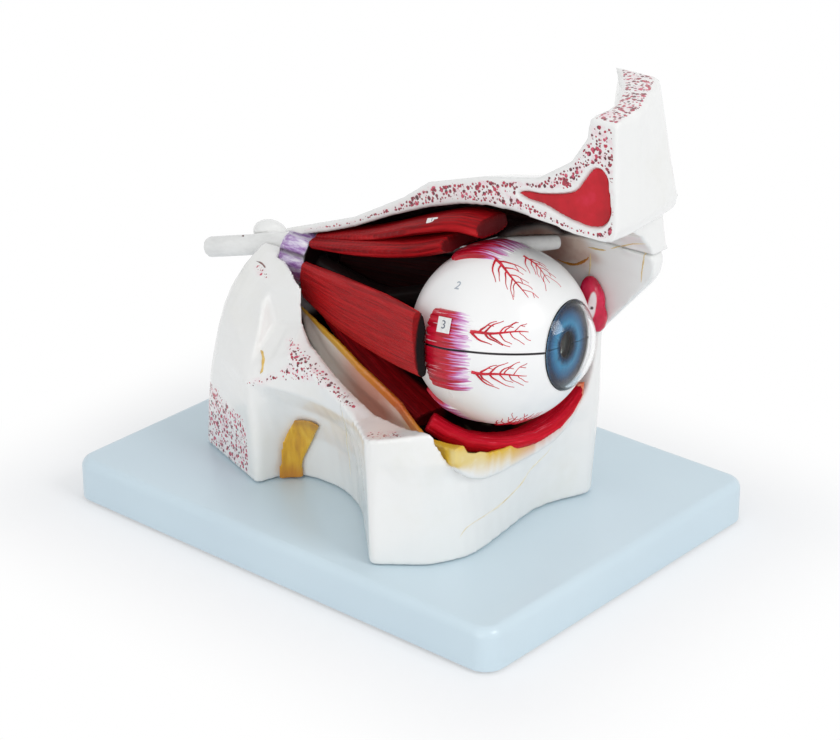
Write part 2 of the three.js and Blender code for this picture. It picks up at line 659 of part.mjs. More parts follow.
// The whole collar with its socket stands on the lower half. Above the seam it keeps behind the
// straight way up of the upper half.
function collar() {
  const reach = EYE_RADIUS + PLUG_LENGTH;
  const tube = nerveStub(PLUG_RADIUS + SOCKET_WALL, EYE_RADIUS * 0.8, reach)
    .subtract(nerveStub(PLUG_RADIUS + 2 * SEAT_GAP, EYE_RADIUS, reach + 5))
    .subtract(ball(scleraInner, INNER_SEGMENTS));
  const wayUp = cylinderZ(0, 0, -2, EYE_RADIUS, EYE_RADIUS + SEAT_GAP, 60);
  return tube.intersect(lowerSide).add(tube.subtract(wayUp).intersect(aboveHeight(-2)));
}

const SEAM_PEG_ANGLES = [95, 205, -50];

function seamPegs(radius, fromZ, toZ) {
  const middle = EYE_RADIUS - SCLERA_WALL / 2;
  return SEAM_PEG_ANGLES
    .map((angle) => cylinderZ(
      middle * Math.cos(radians(angle)), middle * Math.sin(radians(angle)), fromZ, toZ, radius, 10))
    .reduce((all, peg) => all.add(peg));
}

function sclera() {
  const bore = LIMBUS_RADIUS - LIMBUS_LEDGE;
  const shell = MUSCLE_ENDS.map(muscleEnd).reduce((all, end) => all.add(end), ball(EYE_RADIUS))
    .add(taperedRod(TENDON_FROM, TENDON_TO, TENDON_RADII))
    .subtract(ball(scleraInner, INNER_SEGMENTS))
    .subtract(aboutGaze([[15, 0], [15, bore], [60, bore], [60, 0]]))
    .subtract(beforePlane(limbusX));
  const upper = shell.intersect(upperSide)
    .subtract(seamPegs(PEG_RADIUS + SEAT_GAP, -1, PEG_HEIGHT + SEAT_GAP));
  const lower = shell.intersect(lowerSide).add(collar()).add(seamPegs(PEG_RADIUS, -2, PEG_HEIGHT));
  return { upper, lower };
}

function choroid() {
  const shell = ball(choroidOuter, INNER_SEGMENTS)
    .subtract(ball(choroidInner, INNER_SEGMENTS))
    .subtract(beforePlane(irisBack - SEAT_GAP));
  return { upper: shell.intersect(upperSide), lower: shell.intersect(lowerSide) };
}

function iris() {
  const disc = aboutGaze([
    [irisBack, PUPIL_RADIUS], [irisBack, irisRadius], [irisFront - 0.5, irisRadius],
    [irisFront, irisRadius - 1.2], [irisFront - 0.3, PUPIL_RADIUS + 4], [irisFront, PUPIL_RADIUS + 0.8],
    [irisFront - 0.6, PUPIL_RADIUS], [irisBack, PUPIL_RADIUS],
  ]);
  return { upper: disc.intersect(upperSide), lower: disc.intersect(lowerSide) };
}

function cornea() {
  const seat = limbusX + SEAT_GAP;
  const centreX = seat - onSphere(CORNEA_RADIUS, LIMBUS_RADIUS);
  const arc = (radius, steps) => {
    const rim = Math.acos((seat - centreX) / radius);
    return Array.from({ length: steps + 1 }, (unused, i) => {
      const angle = rim * (1 - i / steps);
      return [centreX + radius * Math.cos(angle), i === steps ? 0 : radius * Math.sin(angle)];
    });
  };
  const outer = arc(CORNEA_RADIUS, 7);
  return aboutGaze([...outer, ...arc(CORNEA_RADIUS - CORNEA_WALL, 6).reverse(), outer[0]]);
}

function lensProfile(grow) {
  const quarter = (bulge, from, to) => Array.from({ length: 6 }, (unused, i) => {
    const angle = radians(from + ((to - from) * i) / 5);
    return [lensRim + bulge * Math.cos(angle), (LENS_RADIUS + grow) * Math.sin(angle)];
  });
  const front = quarter(LENS_FRONT_BULGE + grow, 0, 90);
  const back = quarter(-(LENS_BACK_BULGE + grow), 90, 0).slice(1);
  front[0][1] = 0;
  back[back.length - 1][1] = 0;
  return [...front, ...back];
}

function vitreous() {
  return ball(vitreousRadius, INNER_SEGMENTS)
    .subtract(beforePlane(lensRim - 0.6))
    .subtract(aboutGaze(lensProfile(SEAT_GAP)));
}

// The space that the eyeball sweeps as it is drawn out, with its raised muscle ends.
function wayOut() {
  const reach = EYE_RADIUS + STUMP_RISE + 3 * SEAT_GAP;
  const sweep = 220;
  const capsule = new THREE.CapsuleGeometry(reach, sweep, 7, 24);
  capsule.translate(0, sweep / 2, 0);
  capsule.applyQuaternion(new THREE.Quaternion().setFromUnitVectors(vector(0, 1, 0), drawDirection()));
  capsule.translate(...EYE_CENTRE.toArray());
  return solid(capsule);
}

// Soft parts of the orbit

// The bag of fat and lining under the muscles, with its rim open to the outer side.
const FAT_STATIONS = [
  [-48, -8, 111, 15, 22.2], [-24, -12, 108.5, 21, 33.4], [8, -14, 110, 31, 47.4], [39, -14, 112, 39, 57.4],
  [62, -17, 114, 47, 59.9], [84, -19, 117.5, 51.5, 56.6],
];
const FAT_RIM = [[-70, 101], [-48, 100], [-26, 98], [-3, 96], [33, 88], [56, 81], [70, 80], [90, 84]];

// With an inset it is the room inside the bag, which runs out past both of the bag's ends and
// leaves a thicker lip in front.
function fatForm(inset) {
  const past = inset > 0 ? 5 : 0;
  const lip = inset > 0 ? FAT_LIP - FAT_WALL : 0;
  const last = FAT_STATIONS.length - 1;
  const rings = FAT_STATIONS.map(([x, y, z, halfY, halfZ], i) => {
    const shift = i === 0 ? -past : i === last ? past : 0;
    const wall = inset + (i === last ? lip : 0);
    return superellipse(x + shift, y, z, halfY - wall, halfZ - wall, ORBIT_POWER, 26);
  });
  return smoothLoft(rings, 11);
}

function orbitalFat() {
  const rim = new THREE.SplineCurve(FAT_RIM.map(([x, z]) => new THREE.Vector2(x, z))).getPoints(20);
  const over = [...rim, new THREE.Vector2(90, LOOSE), new THREE.Vector2(-70, LOOSE)];
  return fatForm(0)
    .intersect(orbitHollow(2 * SEAT_GAP))
    .subtract(fatForm(FAT_WALL))
    .subtract(profileAlongY(over, -LOOSE, LOOSE));
}

const upward = vector(0, 0, 1);
const station = (at, half, thick, across = upward) => ({ at: vector(...at), half, thick, across });
const sideways = vector(0, 1, 0);
const leaning = vector(-0.1, 0, 1);

const MUSCLES = {
  lateral_rectus: [
    station([-52, -17, 111.5], 9, 3.4, leaning), station([-15, -30, 112.8], 14.2, 4.6, leaning),
    station([26.5, -45, 117.3], 16.4, 4.4, leaning), station([58.5, -59, 123], 15.2, 3.8),
  ],
  medial_rectus: [
    station([-52, 7, 112], 8, 2.4), station([-15, 15, 113], 12, 3.2), station([20, 22.5, 114], 14, 3.2),
    station([46, 28.5, 116], 13.5, 2.8),
  ],
  superior_rectus: [
    station([-52, -7, 126.5], 7, 2.4, sideways), station([-10, -12, 137], 12, 3.8, sideways),
    station([25, -15, 147.5], 14, 4, sideways), station([46, -16, 155.5], 13.5, 3.6, sideways),
  ],
  levator_palpebrae: [
    station([-52, -4, 130.6], 6, 1.3, sideways), station([-10, -9, 143.6], 10, 2.4, sideways),
    station([25, -12, 158], 12.5, 3.2, sideways), station([46, -12, 165], 12, 3.8, sideways),
    station([60, -12, 165.5], 10.5, 4.4, sideways),
  ],
  inferior_rectus: [
    station([-52, -7.5, 105.5], 6, 2.6, sideways), station([-20, -14, 90], 11, 4, sideways),
    station([8, -17, 77.5], 13, 4.4, sideways), station([36, -21, 68], 13.5, 4.6, sideways),
  ],
};

function inferiorOblique() {
  const under = [[54, -47, 81], [66, -40, 73.5], [76, -25, 69], [80, -5, 67.5], [82, 12, 72], [83, 27, 82]];
  return muscle(under.map(([x, y, z], i) => {
    const toEye = EYE_CENTRE.clone().sub(vector(x, y, z)).normalize();
    const next = vector(...under[Math.min(i + 1, under.length - 1)]);
    next.sub(vector(...under[Math.max(i - 1, 0)]));
    return { at: vector(x, y, z), half: 8, thick: 4.2, across: toEye.cross(next.normalize()) };
  }));
}

function caruncle() {
  const blob = new THREE.SphereGeometry(1, 18, 12);
  blob.scale(6.5, 6, 13.5);
  blob.rotateY(radians(-14));
  blob.translate(84, 31.5, 120);
  return solid(blob).intersect(orbitHollow(SEAT_GAP));
}

// The nerve that shows as a yellow band on the wall of the outer notch, laid on the bone.
const NERVE_BAND_FOOT = BASE_TOP + 2 * SEAT_GAP;
const NERVE_BAND = [
  [-29, 55], [-21, 57], [-14.5, 56], [-19.5, 49], [-25.5, 39], [-29.2, 30], [-29.4, NERVE_BAND_FOOT],
  [-35.8, NERVE_BAND_FOOT], [-36, 30], [-35, 43], [-32, 50],
];

function nerveBand() {
  const outline = [...NERVE_BAND, NERVE_BAND[0]].map(([x, z]) => new THREE.Vector2(x, z));
  const region = new THREE.SplineCurve(outline).getPoints(32).slice(0, -1)
    .map((p) => new THREE.Vector2(p.x, Math.max(p.y, NERVE_BAND_FOOT)));
  return castingBlock(NERVE_BAND_RISE + SEAT_GAP)
    .subtract(castingBlock(2 * SEAT_GAP))
    .intersect(profileAlongY(region, -LOOSE, -30));
}

// Assembly

addPiece('base_plate', tray(), STAND);
footPlaces().forEach(([x, y], i) => {
  addPiece(`foot_${i + 1}`, cylinderZ(x, y, 0, FOOT_THICKNESS, FOOT_RADIUS, 20), finish(0x9aa3a8, 0.8));
});
SCREWS.forEach(([x, y], i) => {
  addPiece(`base_screw_${i + 1}`, screw(x, y), finish(0xb8bcc0, 0.35, { metalness: 1 }));
});

const clinoid = solid(new THREE.SphereGeometry(1, 18, 12).scale(10, 7, 6.5).translate(-92, 4, 117.5));
addPiece('maxilla', largest(screwHoles(bonesBelow).intersect(frontHalf)), BONE);
const rearBones = bonesBelow.add(clinoid.subtract(nerveChannel));
addPiece('sphenoid', largest(screwHoles(rearBones).intersect(rearHalf)), BONE);
const sinusRoom = sinusSolid(0, SECTION_Y - 1, SECTION_Y + SINUS_DEPTH);
addPiece('frontal_bone', largest(frontalBone().subtract(sinusRoom)), BONE);
const sinusLining = sinusSolid(2 * SEAT_GAP, SECTION_Y + SINUS_SINK, SECTION_Y + SINUS_DEPTH - SEAT_GAP);
addPiece('frontal_sinus_lining', sinusLining, finish(0xc01828, 0.35));
addPiece('infraorbital_nerve', largest(nerveBand()), finish(0xd9a21b, 0.4));

const sweep = wayOut();
const plugFrom = socketMouth();
const plugTo = EYE_CENTRE.clone().addScaledVector(drawDirection(), -(EYE_RADIUS + SEAT_GAP));
const plug = taperedRod(
  plugFrom.clone().addScaledVector(drawDirection(), -2).toArray(), plugTo.toArray(), [PLUG_RADIUS, PLUG_RADIUS], 20);
addPiece('optic_nerve', nervePath.add(plug), finish(0xf2efe6, 0.3));
addPiece('tendinous_ring', largest(ringSolid(0).subtract(nerveChannel)), finish(0x9a6f9e, 0.4));
// Room for the muscles: under the roof they keep inside the hollow, on the open side they are free.
const muscleRoom = orbitHollow(2 * SEAT_GAP)
  .add(block(vector(-LOOSE, -LOOSE, -LOOSE), vector(LOOSE, LOOSE, APEX.z)))
  .add(block(vector(-LOOSE, -LOOSE, -LOOSE), vector(LOOSE, SECTION_Y - 20, LOOSE)));
const behindRing = block(vector(-LOOSE, -LOOSE, -LOOSE), vector(RING_FRONT_X + SEAT_GAP, LOOSE, LOOSE));
let taken = sweep.add(behindRing);
for (const [name, stations] of Object.entries(MUSCLES)) {
  addPiece(name, largest(muscle(stations).intersect(muscleRoom).subtract(taken)), MUSCLE);
  const grown = stations.map((s) => ({ ...s, half: s.half + SEAT_GAP, thick: s.thick + SEAT_GAP }));
  taken = taken.add(muscle(grown));
}
const fat = orbitalFat();
addPiece('orbital_fat', largest(fat), finish(0xe0a52a, 0.4));
const oblique = inferiorOblique().intersect(fatForm(FAT_WALL + SEAT_GAP)).subtract(sweep);
addPiece('inferior_oblique', largest(oblique), MUSCLE);
addPiece('lacrimal_caruncle', largest(caruncle().subtract(sweep)), finish(0xc8203a, 0.3));

const white = sclera();
const lining = choroid();
const coloured = iris();
addPiece('sclera_lower', largest(white.lower), SCLERA, eyeball);
addPiece('sclera_upper', largest(white.upper), SCLERA, eyeball);
addPiece('cornea', cornea(), finish(0xe8f2f6, 0.05, { transparent: true, opacity: 0.35 }), eyeball);
addPiece('choroid_lower', lining.lower, finish(0x5a1c14, 0.5), eyeball);
addPiece('choroid_upper', lining.upper, finish(0x5a1c14, 0.5), eyeball);
addPiece('iris_lower', coloured.lower, finish(0x1c5c90, 0.3), eyeball);
addPiece('iris_upper', coloured.upper, finish(0x1c5c90, 0.3), eyeball);
addPiece('vitreous_body', largest(vitreous()), finish(0xe9d9d2, 0.1), eyeball);
addPiece('lens', aboutGaze(lensProfile(0)), finish(0xf4f7f2, 0.05), eyeball);
group.add(eyeball);

export default group;
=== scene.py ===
# %% [markdown]
# # A take-apart model of the eye, in Blender
# This is a teaching model: a big eyeball in a sectioned bony orbit, on a pale blue plastic stand.
# The eyeball pulls off the nerve behind it and opens into its shells. The solids come from the
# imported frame, in metres. This script gives each of them its real surface and its paint.

import bpy
import bmesh
import math
import numpy as np
from mathutils import Euler, Matrix, Vector, kdtree
from mathutils.bvhtree import BVHTree


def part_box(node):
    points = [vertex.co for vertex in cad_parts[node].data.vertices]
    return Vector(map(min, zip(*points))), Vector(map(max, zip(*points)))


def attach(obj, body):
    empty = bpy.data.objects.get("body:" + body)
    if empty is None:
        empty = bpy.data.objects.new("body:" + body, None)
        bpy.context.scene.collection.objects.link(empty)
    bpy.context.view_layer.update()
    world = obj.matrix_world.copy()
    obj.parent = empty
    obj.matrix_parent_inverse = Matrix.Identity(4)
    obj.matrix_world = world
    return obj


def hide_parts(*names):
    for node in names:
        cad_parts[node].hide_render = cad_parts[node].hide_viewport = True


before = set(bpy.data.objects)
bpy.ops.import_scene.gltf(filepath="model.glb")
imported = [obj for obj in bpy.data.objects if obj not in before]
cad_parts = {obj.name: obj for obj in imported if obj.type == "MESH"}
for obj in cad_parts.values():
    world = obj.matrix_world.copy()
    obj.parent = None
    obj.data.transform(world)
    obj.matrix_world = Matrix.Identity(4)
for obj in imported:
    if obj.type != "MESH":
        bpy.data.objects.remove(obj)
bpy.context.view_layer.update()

# %% [markdown]
# ## The camera
# The model is looked at from its front outer corner and from above. The stand's corners fix the
# angle and the distance, so the camera stands on plain numbers and looks along one direction.

# %% Camera
MM = 0.001
CAMERA_PLACE = Vector((0.7232, -0.8316, 0.5793))
LENS_MM, SENSOR_MM, SIGHT_END = 110.32, 36, 20
turn, lift = math.radians(40.72), math.radians(24.68)
back = Vector((math.sin(turn) * math.cos(lift), -math.cos(turn) * math.cos(lift), math.sin(lift)))


def placed(name, data):
    """A new object in the scene."""
    made = bpy.data.objects.new(name, data)
    bpy.context.scene.collection.objects.link(made)
    return made


camera = placed("camera", bpy.data.cameras.new("camera"))
camera.location = CAMERA_PLACE
camera.rotation_euler = (-back).to_track_quat("-Z", "Y").to_euler()
camera.data.sensor_width = SENSOR_MM
camera.data.lens = LENS_MM
camera.data.clip_end = SIGHT_END
bpy.context.scene.camera = camera
bpy.context.scene.view_settings.view_transform = "Standard"
print("camera", [round(v, 3) for v in camera.location])

# %% [markdown]
# ## Floor and light
# Three large round lamps, a smaller square one that the eye mirrors like a window, and an even
# sky light the model softly. The backdrop is white to the camera and to what mirrors it. The
# floor fades to that white away from the stand and keeps the model's shadow close to it.

# %% Floor, lamps and sky
LAMPS = (("key_lamp", (-0.25, -1.05, 1.35), 1.3, 1.8, "DISK"),
         ("fill_lamp", (0.25, -1.3, 0.35), 1.2, 3.8, "DISK"),
         ("window_lamp", (1.45, -0.02, 1.2), 0.70, 9.6, "SQUARE"),
         ("top_lamp", (0.1, 0.5, 1.6), 1.5, 2.5, "DISK"))
LAMP_AIM = Vector((0.0, 0.0, 0.1))
SKY_LIGHT = 0.56


def deselect():
    bpy.ops.object.select_all(action="DESELECT")


deselect()
bpy.ops.mesh.primitive_plane_add(size=8, location=(0, 0, 0))
floor = bpy.context.object
floor.name = "floor"
for name, place, size, power, shape in LAMPS:
    lamp = placed(name, bpy.data.lights.new(name, "AREA"))
    lamp.location = place
    lamp.rotation_euler = (LAMP_AIM - Vector(place)).to_track_quat("-Z", "Y").to_euler()
    lamp.data.shape = shape
    lamp.data.size = size
    lamp.data.energy = power
sky = bpy.data.worlds.new("sky")
bpy.context.scene.world = sky
sky.use_nodes = True


def show_white(tree, plain, glow_kind, output, share=None):
    """Mixes in a white that cameras, mirrors and glass see, by a share where one is given."""
    path = tree.nodes.new("ShaderNodeLightPath")
    clear = tree.nodes.new("ShaderNodeMath")
    seen = tree.nodes.new("ShaderNodeMath")
    clear.operation = seen.operation = "MAXIMUM"
    tree.links.new(path.outputs["Is Glossy Ray"], clear.inputs[0])
    tree.links.new(path.outputs["Is Transmission Ray"], clear.inputs[1])
    tree.links.new(path.outputs["Is Camera Ray"], seen.inputs[0])
    tree.links.new(clear.outputs[0], seen.inputs[1])
    amount = tree.nodes.new("ShaderNodeMath")
    amount.operation = "MULTIPLY"
    amount.inputs[1].default_value = 1.0
    tree.links.new(seen.outputs[0], amount.inputs[0])
    if share is not None:
        tree.links.new(share, amount.inputs[1])
    glow = tree.nodes.new(glow_kind)
    glow.inputs["Color"].default_value = (1, 1, 1, 1)
    both = tree.nodes.new("ShaderNodeMixShader")
    tree.links.new(amount.outputs[0], both.inputs["Fac"])
    tree.links.new(plain.outputs[0], both.inputs[1])
    tree.links.new(glow.outputs[0], both.inputs[2])
    tree.links.new(both.outputs[0], tree.nodes[output].inputs["Surface"])


backdrop = sky.node_tree.nodes["Background"]
backdrop.inputs["Color"].default_value = (0.97, 0.985, 1, 1)
backdrop.inputs["Strength"].default_value = SKY_LIGHT
show_white(sky.node_tree, backdrop, "ShaderNodeBackground", "World Output")

# %% [markdown]
# ## Mixing paint
# Every finish here is a Principled shader with a few procedural nodes in front of it. A small
# class keeps the calls short: noise for mottling, ramps for colour, a map range for soft edges.

# %% Paint helper
def rgb(red, green, blue):
    """A colour as it is seen on a screen, 0 to 255, as the linear value a shader wants."""
    shares = [c / 255 for c in (red, green, blue)]
    linear = [c / 12.92 if c <= 10 / 255 else ((c + 0.055) / 1.055) ** 2.4 for c in shares]
    return (*linear, 1.0)


class Paint:
    """One finish: its material, and short calls that add nodes to it."""

    def __init__(self, name, roughness=0.3, coat=0.0, mirror=0.5, **others):
        self.material = bpy.data.materials.new(name)
        self.material.use_nodes = True
        self.tree = self.material.node_tree
        self.shader = self.tree.nodes["Principled BSDF"]
        values = {"Roughness": roughness, "Coat Weight": coat, "Coat Roughness": 0.08,
                  "Specular IOR Level": mirror, **others}
        for key, value in values.items():
            self.shader.inputs[key].default_value = value
        self.place = self.node("ShaderNodeTexCoord", "Object")

    def feed(self, value, socket):
        if isinstance(value, bpy.types.NodeSocket):
            self.tree.links.new(value, socket)
        else:
            socket.default_value = value

    def node(self, kind, output, inputs=(), **settings):
        """Adds a node, sets it, feeds its inputs and gives one of its outputs."""
        made = self.tree.nodes.new(kind)
        for key, value in settings.items():
            setattr(made, key, value)
        for key, value in dict(inputs).items():
            self.feed(value, made.inputs[key])
        return made.outputs[output]

    def mapped(self, scale=(1, 1, 1), location=(0, 0, 0), rotation=(0, 0, 0), kind="POINT"):
        inputs = {"Vector": self.place, "Scale": scale, "Location": location, "Rotation": rotation}
        return self.node("ShaderNodeMapping", "Vector", inputs, vector_type=kind)

    def noise(self, scale, detail=3.0, roughness=0.5, vector=None):
        inputs = {"Vector": vector or self.place, "Scale": scale, "Detail": detail, "Roughness": roughness}
        return self.node("ShaderNodeTexNoise", "Fac", inputs)

    def cells(self, scale, vector, feature="F1"):
        """The distance in a pattern of cells. Its node has the colour of each cell too."""
        inputs = {"Vector": vector, "Scale": scale}
        return self.node("ShaderNodeTexVoronoi", "Distance", inputs, feature=feature)

    def attribute(self, name, output="Fac"):
        return self.node("ShaderNodeAttribute", output, attribute_name=name)

    def parts(self, vector):
        return tuple(self.node("ShaderNodeSeparateXYZ", 0, {0: vector}).node.outputs)

    def joined(self, x, y, z):
        return self.node("ShaderNodeCombineXYZ", 0, {0: x, 1: y, 2: z})

    def stretched(self, vector_parts, factors):
        """A vector with each of its parts multiplied by its own factor."""
        return self.joined(*[self.times(part, factor) for part, factor in zip(vector_parts, factors)])

    def math(self, kind, first, second=0.0, third=0.0):
        return self.node("ShaderNodeMath", 0, {0: first, 1: second, 2: third}, operation=kind)

    def times(self, first, second):
        return self.math("MULTIPLY", first, second)

    def plus(self, first, second):
        return self.math("ADD", first, second)

    def minus(self, first, second):
        return self.math("SUBTRACT", first, second)

    def scaled(self, value, factor, offset):
        """A value times a factor, plus an offset."""
        return self.math("MULTIPLY_ADD", value, factor, offset)

    def hypotenuse(self, first, second):
        return self.math("SQRT", self.plus(self.times(first, first), self.times(second, second)))

    def fade(self, value, low, high, kind="SMOOTHSTEP"):
        """0 at low and 1 at high. High may be the lower number."""
        flip = high < low
        inputs = {"Value": value, "From Min": min(low, high), "From Max": max(low, high),
                  "To Min": float(flip), "To Max": float(not flip)}
        return self.node("ShaderNodeMapRange", "Result", inputs, interpolation_type=kind)

    def mix(self, amount, first, second):
        return self.node("ShaderNodeMix", 2, {0: amount, 6: first, 7: second}, data_type="RGBA")

    def ramp(self, value, *stops):
        toned = self.node("ShaderNodeValToRGB", "Color", {"Fac": value})
        slots = toned.node.color_ramp.elements
        while len(slots) < len(stops):
            slots.new(0.5)
        for slot, (place, colour) in zip(slots, stops):
            slot.position, slot.color = place, colour
        return toned

    def colour(self, value):
        self.feed(value, self.shader.inputs["Base Color"])

    def rough(self, value):
        self.feed(value, self.shader.inputs["Roughness"])

    def relief(self, height, depth_mm, strength=1.0):
        inputs = {"Strength": strength, "Distance": depth_mm * MM, "Height": height}
        self.feed(self.node("ShaderNodeBump", "Normal", inputs), self.shader.inputs["Normal"])


def mottled(paint, grain, depth_mm, strength, *stops):
    """Mottles a finish by one noise, which is its fine relief too."""
    mottle = paint.noise(*grain)
    paint.colour(paint.ramp(mottle, *stops))
    paint.relief(mottle, depth_mm, strength)
    return paint


STAND_HALF_LENGTH, STAND_HALF_WIDTH, FADE_LENGTH = 0.13, 0.0975, 0.09
floor_paint = Paint("pale_floor", 0.9)
floor_paint.colour(rgb(246, 247, 249))
x, y, _ = floor_paint.parts(floor_paint.place)
past_x = floor_paint.minus(floor_paint.math("ABSOLUTE", x), STAND_HALF_LENGTH)
past_y = floor_paint.minus(floor_paint.math("ABSOLUTE", y), STAND_HALF_WIDTH)
past_x, past_y = [floor_paint.math("MAXIMUM", past, 0.0) for past in (past_x, past_y)]
away = floor_paint.hypotenuse(past_x, past_y)
white_share = floor_paint.scaled(floor_paint.fade(away, 0.0, FADE_LENGTH), 0.6, 0.4)
show_white(floor_paint.tree, floor_paint.shader, "ShaderNodeEmission", "Material Output", white_share)
floor.data.materials.append(floor_paint.material)

# %% [markdown]
# ## From a solid to a cast surface
# Bones, muscles and fat are hand-carved castings. No lathe or extrusion gives their forms, so
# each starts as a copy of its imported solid: corners merged, the skin rebuilt as small even quads,
# then relaxed until the flats are gone. The edges soften by about a millimetre, as a cast's do.

# %% Re-skinning
def active(piece):
    deselect()
    piece.select_set(True)
    bpy.context.view_layer.objects.active = piece
    return piece


def start_edit(piece):
    """Opens one piece in edit mode with all of it selected."""
    active(piece)
    bpy.ops.object.mode_set(mode="EDIT")
    bpy.ops.mesh.select_all(action="SELECT")


def finish_edit():
    """Turns all faces outwards and leaves edit mode."""
    bpy.ops.mesh.select_all(action="SELECT")
    bpy.ops.mesh.normals_make_consistent(inside=False)
    bpy.ops.object.mode_set(mode="OBJECT")


def fresh_copy(node, name):
    """A copy of a solid with its corners merged and its faces turned outwards."""
    piece = placed(name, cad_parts[node].data.copy())
    piece.data.materials.clear()
    start_edit(piece)
    bpy.ops.mesh.remove_doubles(threshold=2e-6)
    finish_edit()
    return piece


def work(piece, kind, **settings):
    """Adds one modifier, sets it and applies it."""
    active(piece)
    made = piece.modifiers.new(kind.lower(), kind)
    for key, value in settings.items():
        setattr(made, key, value)
    bpy.ops.object.modifier_apply(modifier=made.name)
    return piece


def skinned(piece, grain, relax):
    """Rebuilds a skin with quads of about one grain, in mm, and relaxes it."""
    work(piece, "REMESH", mode="VOXEL", voxel_size=grain * MM, use_smooth_shade=True)
    return work(piece, "SMOOTH", factor=0.5, iterations=relax)


def reskin(node, name, grain, relax):
    """A smooth version of a solid of the orbit."""
    piece = skinned(fresh_copy(node, name), grain, relax)
    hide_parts(node)
    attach(piece, "orbit")
    return piece


# %% [markdown]
# ## Marks that a finish can read
# The casting is painted by hand, and the paint follows the form: a sawn face, a distance along a
# muscle. Such things are kept as one number per vertex, and the finishes turn them into colour.

# %% Vertex marks
def corners(piece):
    """Places in mm and directions of a piece's vertices."""
    place = np.empty(len(piece.data.vertices) * 3)
    facing = np.empty(len(piece.data.vertices) * 3)
    piece.data.vertices.foreach_get("co", place)
    piece.data.vertices.foreach_get("normal", facing)
    return place.reshape(-1, 3) / MM, facing.reshape(-1, 3)


def set_corners(piece, place):
    piece.data.vertices.foreach_set("co", (place * MM).ravel())
    piece.data.update()


def mark(piece, name, values):
    layer = piece.data.attributes.new(name, "FLOAT", "POINT")
    layer.data.foreach_set("value", np.asarray(values, np.float32))


def mark_vector(piece, name, values):
    layer = piece.data.attributes.new(name, "FLOAT_VECTOR", "POINT")
    layer.data.foreach_set("vector", np.asarray(values, np.float32).ravel())


def soft_step(value, low, high):
    """0 at low, 1 at high, smooth between, for arrays."""
    share = np.clip((value - low) / (high - low), 0, 1)
    return share * share * (3 - 2 * share)


def nearest(points, others):
    """Distance from each point to the closest of the others."""
    tree = kdtree.KDTree(len(others))
    for i, other in enumerate(others):
        tree.insert(other, i)
    tree.balance()
    return np.array([tree.find(point)[2] for point in points])


def sawn_depth(place, on_face):
    """How far in from its outline each vertex of a sawn face is, in mm, and 0 elsewhere."""
    depth = np.zeros(len(place))
    depth[on_face] = nearest(place[on_face], place[~on_face])
    return depth


def inside_outline(x, y, outline):
    """Whether each point lies in a closed outline, by counting crossings."""
    inside = np.zeros(len(x), bool)
    for (ax, ay), (bx, by) in zip(outline, outline[1:] + outline[:1]):
        if ay != by:
            inside ^= ((ay > y) != (by > y)) & (x < (bx - ax) * (y - ay) / (by - ay) + ax)
    return inside


# %% [markdown]
# ## The sawn bones
# Three castings make the orbit: the frontal bone above, the cheek bone in front and the sphenoid
# behind. Where they are sawn through, red marrow shows inside a white rim. The marks give the
# distance in from each sawn outline, and where more marrow is dotted on by hand.

# %% Bone castings
SECTION_Y = -13.0
TOP_FACE_Z = 224
frontal = reskin("frontal_bone", "frontal_casting", 1.05, 5)
place, facing = corners(frontal)
far_side = soft_step(place[:, 1], SECTION_Y + 4, SECTION_Y + 14) * soft_step(facing[:, 2], -0.15, 0.25)
group = frontal.vertex_groups.new(name="far_side")
for i in np.flatnonzero(far_side > 0.02):
    group.add([int(i)], float(far_side[i]), "REPLACE")
work(frontal, "SMOOTH", factor=0.5, iterations=45, vertex_group="far_side")
place, facing = corners(frontal)
on_section = (np.abs(place[:, 1] - SECTION_Y) < 0.45) & (facing[:, 1] < -0.85)
on_top = (place[:, 2] > TOP_FACE_Z) & (facing[:, 2] > 0.85)
mark(frontal, "sawn", sawn_depth(place, on_section) + sawn_depth(place, on_top))
mark(frontal, "dots", np.zeros(len(place)))
print("frontal vertices", len(place), "sawn", int(on_section.sum()), "top", int(on_top.sum()))

# %% [markdown]
# The cheek bone and the sphenoid are sawn apart from one casting, so they are skinned as one and
# cut at the joint, which leaves only a hair line. The marrow on them is dotted on by hand, and the
# dotted patches were laid out as the model is seen from its front outer corner. Their outlines
# are therefore given in that picture's own pixels.

# %% Cheek bone and sphenoid
FOCAL = 2574.1
PICTURE_MIDDLE = (420.0, 370.0)
PLATEAU = [(286, 335), (296, 342), (304, 350), (315, 361), (330, 376), (345, 391), (358, 405), (362, 412),
           (350, 409), (338, 399), (325, 389), (313, 381), (300, 380), (285, 379), (270, 382), (256, 385),
           (245, 388), (249, 381), (270, 376), (285, 369), (290, 360), (286, 348)]
CHEEK_TOP = [(362, 436), (372, 431), (386, 430), (400, 432), (405, 437), (390, 440), (372, 441)]
REAR_FACE = [(206, 378), (214, 384), (222, 397), (232, 409), (240, 414), (246, 428), (249, 474), (240, 472),
             (226, 460), (209, 442), (200, 430), (200, 390)]
APEX_DOTS = [(254, 264), (262, 266), (269, 272), (268, 279), (258, 277)]
SPLIT_X = 12.0
HALF_HAIR_LINE = 0.12


def picture_place(place):
    """Where points, in mm, are seen in the camera's picture, in pixels."""
    away = np.asarray(place) * MM - np.array(CAMERA_PLACE)
    right = np.array((math.cos(turn), math.sin(turn), 0.0))
    above = np.cross(np.array(back), right)
    depth = -away @ np.array(back)
    across = PICTURE_MIDDLE[0] + FOCAL * (away @ right) / depth
    down = PICTURE_MIDDLE[1] - FOCAL * (away @ above) / depth
    return across, down


